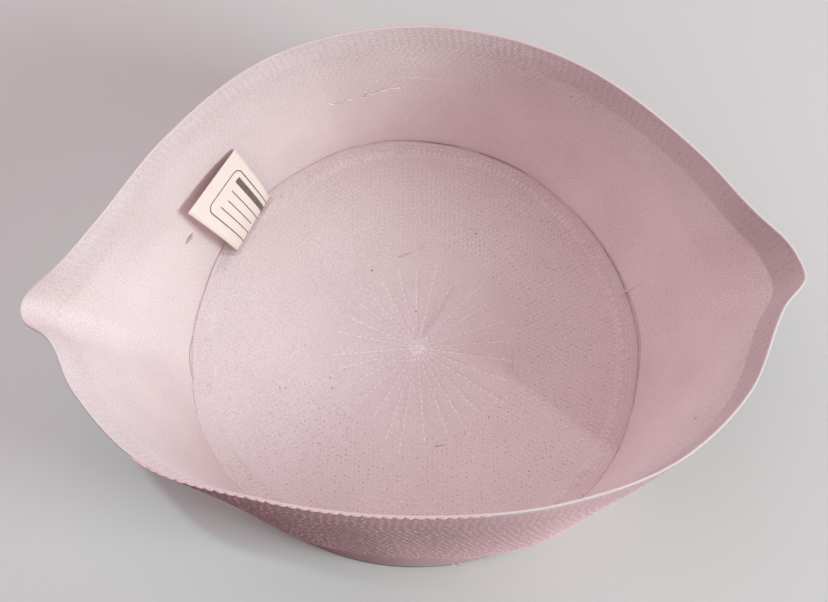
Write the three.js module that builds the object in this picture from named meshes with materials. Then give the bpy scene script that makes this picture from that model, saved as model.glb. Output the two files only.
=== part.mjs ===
// A brimless prayer cap of pale stitched cotton, lying on its crown with the opening up.
// It has been stored flat, so two creases draw its rim out into a pointed oval.
// Millimetres, +Z up. The origin is the centre of the crown's outer face, +X points to the
// right-hand crease and +Y to the back.

import * as THREE from 'three';
import { ParametricGeometry } from 'three/addons/geometries/ParametricGeometry.js';
import { mergeVertices } from 'three/addons/utils/BufferGeometryUtils.js';

const GAP = 0.3; // space left between two sewn pieces

// Crown
const CROWN_RADIUS = 65.5;
const CROWN_CLOTH = 1.8;
const CROWN_EDGE_ROUND = 0.5;
const ROSETTE_RADIUS = 30;
const ROSETTE_RAYS = 28;
const ROSETTE_SWELL = 0.5; // how far the cloth rises between two stitched rays
const ROSETTE_RINGS = 7;
const SEGMENTS_PER_RAY = 4;

// Side band
const WALL = 1.5;
const FOOT_RADIUS = CROWN_RADIUS + GAP + WALL / 2; // middle of the wall at the crown seam
const FOOT_LIFT = 0.3; // the crown carries the cap, so the wall's edge stays off the table
const SLANT = 62.6; // length of the wall along the cloth, from the crown seam to the rim
const HEM_DEPTH = 12;
const HEM_FOLD = 0.7; // extra cloth inside the hem
const RIM_TURN = 1.2; // how far the hem leans in at the rim
const RIM_ROUND = 0.9;
const WALL_STEPS = 4; // from the crown seam to the hem
const WALL_SEGMENTS = 120; // round the crown

// The wall's sections, in order round the crown: where each leaves the crown, the direction and
// reach of the rim at its top, measured from the crown's axis, and how far the wall bows out at
// half its length. The two creases have the longest reach.
const SECTIONS = [
  { crownDeg: 2, rimDeg: 1, reach: 105.5, belly: 0.5 },
  { crownDeg: 8, rimDeg: 5, reach: 101.5, belly: 0.8 },
  { crownDeg: 16, rimDeg: 10.5, reach: 93.5, belly: 0.8 },
  { crownDeg: 30, rimDeg: 22.5, reach: 84, belly: 0.8 },
  { crownDeg: 60, rimDeg: 54.5, reach: 74, belly: 0.8 },
  { crownDeg: 90, rimDeg: 89.5, reach: 70.8, belly: 0.8 },
  { crownDeg: 120, rimDeg: 125, reach: 73, belly: 0.8 },
  { crownDeg: 145, rimDeg: 153, reach: 77.8, belly: 0.8 },
  { crownDeg: 165, rimDeg: 173, reach: 87.8, belly: 0.8 },
  { crownDeg: 177, rimDeg: 181, reach: 99.5, belly: 0.8 },
  { crownDeg: 184, rimDeg: 185, reach: 107.5, belly: 0.5 },
  { crownDeg: 191, rimDeg: 190, reach: 101.8, belly: 0.5 },
  { crownDeg: 205, rimDeg: 201.5, reach: 96.2, belly: 0 },
  { crownDeg: 222, rimDeg: 217.5, reach: 90, belly: -1 },
  { crownDeg: 245, rimDeg: 240, reach: 78, belly: -0.5 },
  { crownDeg: 270, rimDeg: 269, reach: 70.3, belly: 1 },
  { crownDeg: 295, rimDeg: 299, reach: 75.8, belly: 3 },
  { crownDeg: 318, rimDeg: 322, reach: 88, belly: 1.5 },
  { crownDeg: 335, rimDeg: 337.5, reach: 94.6, belly: 1 },
  { crownDeg: 352, rimDeg: 353, reach: 99, belly: 0.5 },
];

// Overcast seam allowance, lying on the crown inside
const ALLOWANCE_INNER = 59.8;
const ALLOWANCE_OUTER = CROWN_RADIUS - 0.1;
const ALLOWANCE_BASE = CROWN_CLOTH + GAP;
const ALLOWANCE_CLOTH = 1.6;
const ALLOWANCE_ROUND = 0.5;
const ALLOWANCE_SEGMENTS = 96;

// Folded label tape, caught in the crown seam
const LABEL_CLOTH = 0.9;
const LABEL_BOW = 1.6; // how far the tape's middle bends towards the crown's axis
const LABEL_STEPS_ACROSS = 4;
const LABEL_STEPS_UP = 8;
const LABEL_BASE = ALLOWANCE_BASE + ALLOWANCE_CLOTH + GAP + 0.1;
const LABEL_CORNERS = {
  sewnBack: { deg: 133.6, reach: 64.2, height: LABEL_BASE },
  sewnFront: { deg: 152.2, reach: 61, height: LABEL_BASE },
  freeBack: { deg: 137.6, reach: 68.4, height: 33 },
  freeFront: { deg: 156.4, reach: 69.2, height: 31.6 },
};

// Finishes
const CLOTH_FINISH = { color: 0xe6d2d3, roughness: 0.9, metalness: 0 };
const EDGE_FINISH = { color: 0xe0c9cb, roughness: 0.92, metalness: 0 };
const TAPE_FINISH = { color: 0xfdece4, roughness: 0.75, metalness: 0 };

const FULL_TURN = 360;
const WELD = 1e-4;

function polar(deg, reach, height) {
  const angle = THREE.MathUtils.degToRad(deg);
  return new THREE.Vector3(reach * Math.cos(angle), reach * Math.sin(angle), height);
}

function sewnPiece(name, geometry, finish) {
  geometry.deleteAttribute('normal');
  geometry.deleteAttribute('uv');
  const closed = mergeVertices(geometry, WELD);
  closed.computeVertexNormals();
  const piece = new THREE.Mesh(closed, new THREE.MeshStandardMaterial(finish));
  piece.name = name;
  return piece;
}

// Moves every corner of a geometry to where place puts it.
function shape(geometry, place) {
  const corners = geometry.attributes.position;
  const corner = new THREE.Vector3();
  for (let i = 0; i < corners.count; i += 1) {
    corner.fromBufferAttribute(corners, i);
    const moved = place(corner);
    corners.setXYZ(i, moved.x, moved.y, moved.z);
  }
  return geometry;
}

// A ring or disc about Z, from its profile of [radius, height] pairs.
function turned(profile, segments) {
  const points = profile.map(([radius, height]) => new THREE.Vector2(radius, height));
  return new THREE.LatheGeometry(points, segments).rotateX(Math.PI / 2);
}

// Between two sections the rim runs on a smooth curve: each section's slope is that of the
// parabola through it and its two neighbours. x and y hold the rim's plan, and z the wall's belly.
const sectionTops = SECTIONS.map(({ rimDeg, reach, belly }) => polar(rimDeg, reach, belly));

function spanAfter(i) {
  const next = SECTIONS[(i + 1) % SECTIONS.length];
  return THREE.MathUtils.euclideanModulo(next.crownDeg - SECTIONS[i].crownDeg, FULL_TURN);
}

function chordSlope(i) {
  const next = sectionTops[(i + 1) % SECTIONS.length];
  return next.clone().sub(sectionTops[i]).divideScalar(spanAfter(i));
}

const sectionSlopes = SECTIONS.map((_, i) => {
  const before = (i + SECTIONS.length - 1) % SECTIONS.length;
  const share = spanAfter(before) / (spanAfter(before) + spanAfter(i));
  return chordSlope(before).lerp(chordSlope(i), share);
});

// The wall's straight run at one place round the crown: its foot, its rim and its belly.
function runAt(crownDeg) {
  const turn = THREE.MathUtils.euclideanModulo(crownDeg, FULL_TURN);
  const found = SECTIONS.findLastIndex((section) => section.crownDeg <= turn);
  const i = found < 0 ? SECTIONS.length - 1 : found;
  const next = (i + 1) % SECTIONS.length;
  const span = spanAfter(i);
  const t = THREE.MathUtils.euclideanModulo(turn - SECTIONS[i].crownDeg, FULL_TURN) / span;
  const rim = new THREE.Vector3()
    .addScaledVector(sectionTops[i], 2 * t ** 3 - 3 * t ** 2 + 1)
    .addScaledVector(sectionSlopes[i], (t ** 3 - 2 * t ** 2 + t) * span)
    .addScaledVector(sectionTops[next], 3 * t ** 2 - 2 * t ** 3)
    .addScaledVector(sectionSlopes[next], (t ** 3 - t ** 2) * span);
  const belly = rim.z;
  const foot = polar(crownDeg, FOOT_RADIUS, FOOT_LIFT);
  const lean = Math.hypot(rim.x - foot.x, rim.y - foot.y);
  rim.z = FOOT_LIFT + Math.sqrt(SLANT ** 2 - lean ** 2);
  return { foot, rim, belly };
}

function straightPoint(crownDeg, along) {
  const { foot, rim } = runAt(crownDeg);
  return foot.lerp(rim, along / SLANT);
}

function wallPoint(crownDeg, along, outward) {
  const { foot, rim, belly } = runAt(crownDeg);
  const round = straightPoint(crownDeg + 1, along).sub(straightPoint(crownDeg - 1, along));
  const normal = round.cross(rim.clone().sub(foot)).normalize();
  const hemShare = Math.max(0, (along - SLANT + HEM_DEPTH) / HEM_DEPTH);
  const bow = belly * Math.sin((Math.PI * along) / SLANT) - RIM_TURN * hemShare ** 2;
  return foot.lerp(rim, along / SLANT).addScaledVector(normal, outward + bow);
}

// The wall's thickness as a closed loop of [along, outward] pairs: up the outside, over the rim
// and down the inside, where the hem's turned-in cloth makes a step.
function wallProfile() {
  const face = WALL / 2;
  const hemFace = face + HEM_FOLD;
  const hemStart = SLANT - HEM_DEPTH;
  const lower = Array.from({ length: WALL_STEPS }, (_, i) => Math.max(face, (i * hemStart) / WALL_STEPS));
  const upper = [hemStart, SLANT - HEM_DEPTH / 2, SLANT - RIM_ROUND];
  const outside = [...lower, ...upper].map((along) => [along, face]);
  const hem = upper.map((along) => [along, -hemFace]);
  const inside = [...lower, hemStart - HEM_FOLD].map((along) => [along, -face]);
  const foot = [0, 0];
  const rim = [SLANT, (face - hemFace) / 2];
  return [foot, ...outside, rim, ...hem.reverse(), ...inside.reverse()];
}

function makeSideBand() {
  const profile = wallProfile();
  const surface = (round, loop, target) => {
    const [along, outward] = profile[Math.round(loop * profile.length) % profile.length];
    target.copy(wallPoint((round % 1) * FULL_TURN, along, outward));
  };
  const geometry = new ParametricGeometry(surface, WALL_SEGMENTS, profile.length);
  return sewnPiece('side_band', geometry, CLOTH_FINISH);
}

// The crown is flat outside, and inside the cloth swells between the rosette's stitched rays.
function rosetteSwell(radius, angle) {
  const share = radius / ROSETTE_RADIUS;
  if (share >= 1) return 0;
  const betweenRays = (1 - Math.cos(ROSETTE_RAYS * angle)) / 2;
  return ROSETTE_SWELL * betweenRays * Math.sin(Math.PI * share);
}

function makeCrown() {
  const rings = Array.from({ length: ROSETTE_RINGS }, (_, i) => ROSETTE_RADIUS * (1 - i / ROSETTE_RINGS));
  const profile = [
    [0, 0],
    [CROWN_RADIUS - CROWN_EDGE_ROUND, 0],
    [CROWN_RADIUS, CROWN_EDGE_ROUND],
    [CROWN_RADIUS, CROWN_CLOTH],
    ...rings.map((radius) => [radius, CROWN_CLOTH]),
    [0, CROWN_CLOTH],
  ];
  const geometry = turned(profile, ROSETTE_RAYS * SEGMENTS_PER_RAY);
  shape(geometry, ({ x, y, z }) => {
    const inside = z > CROWN_CLOTH / 2;
    const swell = inside ? rosetteSwell(Math.hypot(x, y), Math.atan2(y, x)) : 0;
    return new THREE.Vector3(x, y, z + swell);
  });
  return sewnPiece('crown', geometry, CLOTH_FINISH);
}

function makeSeamAllowance() {
  const top = ALLOWANCE_BASE + ALLOWANCE_CLOTH;
  const middle = ALLOWANCE_BASE + ALLOWANCE_CLOTH / 2;
  const profile = [
    [ALLOWANCE_INNER + ALLOWANCE_ROUND, ALLOWANCE_BASE],
    [ALLOWANCE_OUTER, ALLOWANCE_BASE],
    [ALLOWANCE_OUTER, top - ALLOWANCE_ROUND],
    [ALLOWANCE_OUTER - ALLOWANCE_ROUND, top],
    [ALLOWANCE_INNER + 2 * ALLOWANCE_ROUND, top],
    [ALLOWANCE_INNER, middle],
    [ALLOWANCE_INNER + ALLOWANCE_ROUND, ALLOWANCE_BASE],
  ];
  return sewnPiece('seam_allowance', turned(profile, ALLOWANCE_SEGMENTS), EDGE_FINISH);
}

// The tape's middle surface, with across from 0 at the back edge to 1 at the front edge and
// up from 0 in the seam to 1 at the free end.
function tapePoint(across, up) {
  const corner = ({ deg, reach, height }) => polar(deg, reach, height);
  const sewn = corner(LABEL_CORNERS.sewnBack).lerp(corner(LABEL_CORNERS.sewnFront), across);
  const free = corner(LABEL_CORNERS.freeBack).lerp(corner(LABEL_CORNERS.freeFront), across);
  const inward = new THREE.Vector3(-sewn.x, -sewn.y, 0).normalize();
  return sewn.lerp(free, up).addScaledVector(inward, LABEL_BOW * Math.sin(Math.PI * up));
}

function tapeNormal(across, up) {
  const step = 1 / LABEL_STEPS_UP;
  const round = tapePoint(across + step, up).sub(tapePoint(across - step, up));
  const rise = tapePoint(across, up + step).sub(tapePoint(across, up - step));
  return round.cross(rise).normalize();
}

function makeLabel() {
  const tape = new THREE.BoxGeometry(1, 1, LABEL_CLOTH, LABEL_STEPS_ACROSS, LABEL_STEPS_UP, 1);
  shape(tape, ({ x, y, z }) => {
    const across = x + 0.5;
    const up = y + 0.5;
    return tapePoint(across, up).addScaledVector(tapeNormal(across, up), z);
  });
  return sewnPiece('label', tape, TAPE_FINISH);
}

const cap = new THREE.Group();
cap.name = 'prayer_cap';
cap.add(makeCrown(), makeSideBand(), makeSeamAllowance(), makeLabel());

export default cap;
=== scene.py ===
"""A stitched cotton prayer cap, lying open side up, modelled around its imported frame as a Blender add-on."""
import math
from collections import namedtuple

import bmesh
import bpy
import numpy as np
from bpy.props import FloatProperty, FloatVectorProperty, IntProperty, PointerProperty
from mathutils import Matrix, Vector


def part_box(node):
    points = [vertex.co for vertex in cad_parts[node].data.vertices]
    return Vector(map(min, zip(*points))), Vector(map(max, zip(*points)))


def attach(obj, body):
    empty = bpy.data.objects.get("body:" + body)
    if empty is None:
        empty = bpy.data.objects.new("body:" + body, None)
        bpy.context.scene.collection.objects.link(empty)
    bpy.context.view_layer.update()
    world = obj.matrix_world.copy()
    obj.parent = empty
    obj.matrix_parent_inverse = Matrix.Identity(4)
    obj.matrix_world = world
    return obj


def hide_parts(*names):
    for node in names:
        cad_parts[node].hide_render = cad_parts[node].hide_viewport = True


bl_info = {
    "name": "Prayer Cap",
    "version": (1, 0, 0),
    "blender": (4, 5, 0),
    "location": "View3D > Sidebar > Cap",
    "description": "Builds a stitched cotton prayer cap with its seam, label and thread",
    "category": "Add Mesh",
}

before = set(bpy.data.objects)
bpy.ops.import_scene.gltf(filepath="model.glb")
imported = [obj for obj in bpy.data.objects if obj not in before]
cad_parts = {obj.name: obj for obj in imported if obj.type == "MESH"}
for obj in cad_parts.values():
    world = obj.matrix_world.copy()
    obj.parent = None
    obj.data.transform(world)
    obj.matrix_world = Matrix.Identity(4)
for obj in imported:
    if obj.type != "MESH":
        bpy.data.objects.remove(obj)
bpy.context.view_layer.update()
CROWN_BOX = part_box("crown")
EDGE_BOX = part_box("seam_allowance")

MM = 0.001
PER_METRE = 1000.0
BODY = "root"
PICTURE_WIDTH = 828
FOCAL_PIXELS = 1793
SENSOR_MM = 36.0
SEED = 54
SECTORS = 20

# Sections of the side band round the cap: the angle at the crown seam and at the rim in degrees,
# the rim's reach from the middle and the wall's outward belly in millimetres.
Section = namedtuple("Section", "crown_deg rim_deg reach belly")
SECTIONS = (
    Section(2, 0.2, 106.3, 0.5),
    Section(8, 4.8, 103, 0.8),
    Section(16, 10.5, 94, 0.8),
    Section(30, 22.5, 85, 0.8),
    Section(60, 54.5, 73.5, 0.8),
    Section(90, 89.5, 70, 0.8),
    Section(120, 125, 72.5, 0.8),
    Section(145, 153, 77, 0.8),
    Section(165, 173, 87, 0.8),
    Section(176, 180, 96, 0.8),
    Section(181.5, 183.5, 105, 0.5),
    Section(184, 185.2, 106, 0.5),
    Section(187, 187.5, 105, 0.5),
    Section(192, 191, 99.5, 0.5),
    Section(205, 201.5, 95.5, 0),
    Section(222, 217.5, 89.5, -1.5),
    Section(245, 240, 76.5, 1.5),
    Section(270, 269, 71, 0.8),
    Section(295, 299, 77, 3.2),
    Section(318, 322, 88.5, -0.5),
    Section(335, 337.5, 95, 1),
    Section(352, 352.8, 99.4, 0.5),
)

# The crown seam strays from its circle: angle in degrees, and how far out it lies there in millimetres.
SeamPlace = namedtuple("SeamPlace", "deg out")
SEAM_PLACES = (
    SeamPlace(0, -1.5), SeamPlace(12, -2.2), SeamPlace(27, -2.6), SeamPlace(45, -2.8),
    SeamPlace(60, -1.8), SeamPlace(77, -1.0), SeamPlace(96, 0.2), SeamPlace(110, 0.2),
    SeamPlace(120, -0.5), SeamPlace(135, -0.7), SeamPlace(156, -1.7), SeamPlace(166, -2.3),
    SeamPlace(176, -1.8), SeamPlace(190, -1.4), SeamPlace(198, -0.3), SeamPlace(204, 0.3),
    SeamPlace(218, 0.7), SeamPlace(240, 0.0), SeamPlace(285, 0.0), SeamPlace(320, 1.1),
    SeamPlace(330, 0.5), SeamPlace(338, -0.4), SeamPlace(348, -1.1),
)

# Stitched rays of the rosette: direction in degrees and length in millimetres.
Ray = namedtuple("Ray", "deg length")
RAYS = (
    Ray(4.5, 25.7), Ray(18.1, 25.2), Ray(33.9, 26.1), Ray(46.4, 26.6), Ray(63.3, 22.1),
    Ray(77.2, 26.0), Ray(90.5, 24.2), Ray(102.4, 25.0), Ray(115.7, 22.4), Ray(128.5, 23.5),
    Ray(139.8, 21.9), Ray(153.7, 22.8), Ray(167.4, 22.6), Ray(185.0, 23.4), Ray(196.3, 22.4),
    Ray(210.9, 24.0), Ray(225.5, 23.3), Ray(239.7, 24.1), Ray(252.5, 28.9), Ray(260.8, 31.1),
    Ray(274.4, 27.0), Ray(288.1, 25.9), Ray(299.6, 29.7), Ray(311.6, 24.9), Ray(325.6, 29.0),
    Ray(338.6, 27.7), Ray(351.6, 27.7),
)

# Middle of the rosette on the crown.
ROSETTE_X = 0.6 * MM
ROSETTE_Y = -2.4 * MM

# Soft creases in the wall, from one place to another: angle in degrees, height along the cloth, how far
# the crease stands in (below zero, out) and its width, in millimetres.
Crease = namedtuple("Crease", "from_deg from_along to_deg to_along rise width")
CREASES = (
    Crease(187.7, 7.4, 192.5, 0.8, 0.3, 1.2),
    Crease(172.0, 46.0, 176.0, 19.0, 0.25, 1.6),
    Crease(2.0, 60.0, 4.0, 20.0, -0.4, 3.0),
)

# Corners of the label tape: angle, reach and height, in degrees and millimetres.
Corner = namedtuple("Corner", "deg reach height")
SEWN_BACK = Corner(133.2, 64.6, 2.6)
SEWN_FRONT = Corner(151.9, 60.8, 2.6)
FREE_BACK = Corner(137.8, 69.4, 33.0)
FREE_FRONT = Corner(157.2, 69.5, 31.6)

# Profile of a turned piece: radius, height and the widest spacing up to the next point.
Turn = namedtuple("Turn", "radius height spacing")

# Waves round the cap: how many, where they start in radians, and their share of the full height.
Wave = namedtuple("Wave", "count start size")


def length_setting(name, description, default):
    return FloatProperty(name=name, description=description, default=default, unit="LENGTH", precision=5)


def share_setting(name, description, default):
    return FloatProperty(name=name, description=description, default=default, subtype="FACTOR")


def count_setting(name, description, default):
    return IntProperty(name=name, description=description, default=default)


def colour_setting(name, description, default):
    return FloatVectorProperty(name=name, description=description, default=default, subtype="COLOR", size=3)


def power_setting(name, description, default):
    return FloatProperty(name=name, description=description, default=default, unit="POWER")


class CapSizes(bpy.types.PropertyGroup):
    """Sizes of the cap's cloth pieces."""

    crown_radius: length_setting(
        "Crown Radius", "Radius of the round crown", (CROWN_BOX[1][0] - CROWN_BOX[0][0]) / 2)
    crown_cloth: length_setting("Crown Cloth", "Thickness of the crown's cloth", 1.6 * MM)
    crown_lift: length_setting("Crown Lift", "Room under the crown for its outer stitches", 0.45 * MM)
    foot_radius: length_setting("Foot Radius", "Radius of the band's middle at the crown seam", 66.55 * MM)
    foot_lift: length_setting("Foot Lift", "Height of the band's lower edge", 0.3 * MM)
    band_cloth: length_setting("Band Cloth", "Thickness of the side band", 1.5 * MM)
    slant: length_setting("Slant", "Length of the band's cloth from seam to rim", 62.6 * MM)
    hem_depth: length_setting("Hem Depth", "Depth of the hem turned in at the rim", 12.0 * MM)
    hem_fold: length_setting("Hem Fold", "Thickness that the hem adds inside", 0.35 * MM)
    rim_half: length_setting("Rim Half", "Half the thickness of the pressed rim", 0.36 * MM)
    rim_turn: length_setting("Rim Turn", "How far the hem leans in at the right", 1.8 * MM)
    edge_inner: length_setting("Edge Inner", "Inner radius of the overcast edge", 59.9 * MM)
    edge_outer: length_setting(
        "Edge Outer", "Outer radius of the overcast edge",
        (EDGE_BOX[1][0] - EDGE_BOX[0][0]) / 2 + 1.0 * MM)
    edge_top: length_setting(
        "Edge Top", "Height of the overcast edge's upper side", EDGE_BOX[1][2] - 1.25 * MM)
    label_bow: length_setting("Label Bow", "How far the label tape bows inwards", 2.2 * MM)
    tape_cloth: length_setting("Tape Cloth", "Thickness of the label tape", 0.2 * MM)
    tape_gap: length_setting("Tape Gap", "Distance between the tape's two layers", 0.5 * MM)


class CapStitching(bpy.types.PropertyGroup):
    """Rows, counts and sizes of the cap's stitches."""

    band_first: length_setting("First Band Row", "Distance of the first row from the rim", 1.3 * MM)
    band_pitch: length_setting("Band Row Pitch", "Distance between the band's rows", 1.25 * MM)
    band_rows: count_setting("Band Rows", "Rows of stitches on the band's inner face", 24)
    band_more: count_setting("Outer Rows", "Rows that the band's outer face has more", 13)
    band_count: count_setting("Band Stitches", "Stitches in each of the band's rows", 250)
    band_drift: share_setting("Band Drift", "Share of a stitch by which each row steps on", 0.28)
    band_return: share_setting(
        "Band Return", "Share of a stitch by which each row near the rim steps back", 0.37)
    band_turn: count_setting("Band Turn", "Rows near the rim that step back", 6)
    ring_first: length_setting("First Ring", "Radius of the crown's innermost ring", 30.6 * MM)
    ring_pitch: length_setting("Ring Pitch", "Distance between the crown's rings", 1.38 * MM)
    ring_rows: count_setting("Rings", "Rings of stitches on the crown", 21)
    ring_count: count_setting("First Ring Stitches", "Stitches in the innermost ring", 136)
    ring_added: count_setting("Ring Growth", "Stitches that each ring has more", 6)
    ring_drift: share_setting("Ring Drift", "Share of a stitch by which each ring steps on", 0.5)
    thread_width: length_setting("Thread Width", "Width of the sewing thread", 0.42 * MM)


class CapColours(bpy.types.PropertyGroup):
    """Colours of the cap and of the floor, in linear light."""

    cloth: colour_setting("Cloth", "Pale rose cotton", (0.89, 0.735, 0.745))
    cloth_deep: colour_setting("Cloth Deep", "Darker mottling of the cotton", (0.67, 0.52, 0.53))
    # Crown: a darker copy of the band's cotton, partly for the close stitching and partly painted shade over
    # the crown.
    crown: colour_setting("Crown", "Closely stitched cotton of the crown", (0.795, 0.65, 0.66))
    crown_deep: colour_setting("Crown Deep", "Deeper tone of the crown", (0.655, 0.518, 0.526))
    # Hem: painted shade on the hem strip inside, laid on at the right only, and on the inside rows' thread
    # towards the right.
    hem: colour_setting("Hem", "Doubled cloth of the hem", (0.60, 0.455, 0.465))
    # Outside: a rosier copy of the cloth painted on the outer face to offset the cool light that falls on the
    # front; the outer cotton itself has the cloth's colour.
    outside: colour_setting("Outside", "Rosier face of the cotton outside", (0.853, 0.473, 0.513))
    # Rim: painted highlight along the top of the folded rim, at the back and the right.
    rim: colour_setting("Rim", "Worn pale fold of the rim", (0.92, 0.74, 0.75))
    # Pinhole: the needle holes are painted as dark spots, painted shade in the holes; the overcast edge's
    # random specks use this colour too.
    pinhole: colour_setting("Pinhole", "Needle holes beside the stitches", (0.45, 0.32, 0.325))
    thread: colour_setting("Thread", "Sewing thread of the rows", (0.85, 0.705, 0.715))
    ring_thread: colour_setting(
        "Ring Thread", "Thread of the crown's rings and of the loose ends", (0.92, 0.79, 0.80))
    # Outside Thread: as rosy as the outer face's painted tint, which offsets the cool light on the front.
    outside_thread: colour_setting(
        "Outside Thread", "Sewing thread of the band outside", (0.875, 0.545, 0.58))
    bright_thread: colour_setting("Bright Thread", "Paler thread of the rosette", (0.97, 0.87, 0.875))
    tape: colour_setting("Tape", "Cream label tape", (0.895, 0.75, 0.695))
    tape_deep: colour_setting("Tape Deep", "Deeper fibres of the label tape", (0.86, 0.74, 0.68))
    print_ink: colour_setting("Print", "Plain frame and lines on the tape", (0.085, 0.052, 0.052))
    fleck: colour_setting("Fleck", "Lint and dark fibre ends", (0.16, 0.10, 0.095))
    # Seam Shade: dark colour of the lines painted along the open seam as its shade.
    seam_shade: colour_setting("Seam Shade", "Dark lint caught in the open seam", (0.33, 0.245, 0.24))
    # Colour of the fainter painted shade lines along the seam, and of the soft smears on the crown.
    seam_soft_shade_and_smear: colour_setting("Seam Fluff", "Soft fluff along the seam", (0.60, 0.47, 0.47))
    faint_fleck: colour_setting("Faint Fleck", "Paler lint and fine shadow lines", (0.42, 0.31, 0.305))
    floor: colour_setting("Floor", "Pale studio floor", (0.72, 0.71, 0.70))
    floor_bounce: colour_setting("Floor Bounce", "Light that the floor gives back", (0.05, 0.04, 0.038))


class CapStudio(bpy.types.PropertyGroup):
    """Light around the cap."""

    sky: FloatProperty(name="Sky", description="Strength of the light from above, all round", default=0.765)
    sky_tint: colour_setting("Sky Tint", "Warm tint of the light from above", (1.0, 0.86, 0.905))
    backdrop: colour_setting("Backdrop", "Pale surroundings beyond the floor", (0.80, 0.79, 0.78))
    key_power: power_setting("Key Power", "Power of the main light", 9.6)
    key_tint: colour_setting("Key Tint", "Cool tint of the main light", (0.775, 1.0, 0.965))
    fill_power: power_setting("Fill Power", "Power of the fill light", 2.7)
    fill_tint: colour_setting("Fill Tint", "Tint of the fill and wall lights", (1.0, 0.92, 0.95))
    side_power: power_setting("Side Power", "Power of the side light", 8.0)
    side_tint: colour_setting("Side Tint", "Tint of the side light", (0.9, 1.0, 1.0))
    wall_power: power_setting("Wall Power", "Power of the light on the right wall", 5.2)
    top_power: power_setting("Top Power", "Power of the top light", 23.0)
    top_tint: colour_setting("Top Tint", "Tint of the top light", (0.75, 1.0, 1.0))
    front_power: power_setting("Front Power", "Power of the low front light", 24.0)
    front_tint: colour_setting("Front Tint", "Tint of the low front light", (0.9, 1.0, 1.0))


# Studio lights: direction from the right towards the back and height in degrees, width in metres, and the
# place on the table that the light is turned to. All hang equally far from their place.
Lamp = namedtuple("Lamp", "turn rise size aim")
KEY_LAMP = Lamp(-21, 25, 0.42, (0.0, 0.0, 0.0))
FILL_LAMP = Lamp(140, 18, 0.5, (0.0, 0.0, 0.0))
SIDE_LAMP = Lamp(69.5, 39.9, 0.025, (27 * MM, -43 * MM, 0.0))
WALL_LAMP = Lamp(190, 25, 0.06, (75 * MM, 20 * MM, 35 * MM))
TOP_LAMP = Lamp(180, 80, 0.1, (-55 * MM, -6 * MM, 0.0))
FRONT_LAMP = Lamp(-55, 4, 0.04, (39 * MM, -63 * MM, 14 * MM))
LAMP_FAR = 1.2
SIDE_CONE = math.radians(5)
WALL_CONE = math.radians(6)
TOP_CONE = math.radians(7)
FRONT_CONE = math.radians(4.8)


def sizes():
    return bpy.context.scene.cap_sizes


def stitching():
    return bpy.context.scene.cap_stitching


def colours():
    return bpy.context.scene.cap_colours


def smooth_step(low, high, value):
    share = np.clip((value - low) / (high - low), 0, 1)
    return share * share * (3 - 2 * share)


def unit(vectors):
    return vectors / np.linalg.norm(vectors, axis=-1, keepdims=True)


def polar(deg, reach, height):
    """Points from an angle in degrees, a reach from the middle and a height."""
    angle = np.radians(deg)
    return np.stack(np.broadcast_arrays(reach * np.cos(angle), reach * np.sin(angle), height), axis=-1)


def polar_of(points):
    """Reach from the middle and angle in degrees of points."""
    return np.hypot(points[..., 0], points[..., 1]), np.degrees(np.arctan2(points[..., 1], points[..., 0]))


def share_near(deg, centre, near, far):
    """One up to an angle from a direction, and fading to nothing further round."""
    away = np.abs((np.asarray(deg) - centre + 180) % 360 - 180)
    return 1 - smooth_step(near, far, away)


def waves_round(waves, angle, shift=0.0):
    """Waves of a table added up, at angles in radians."""
    return sum(wave.size * np.sin(wave.count * angle + wave.start + shift) for wave in waves)


def seam_shift(deg):
    """How far out of its circle the crown seam lies."""
    places = [place.deg for place in SEAM_PLACES]
    return np.interp(deg, places, [place.out for place in SEAM_PLACES], period=360) * MM


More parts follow.
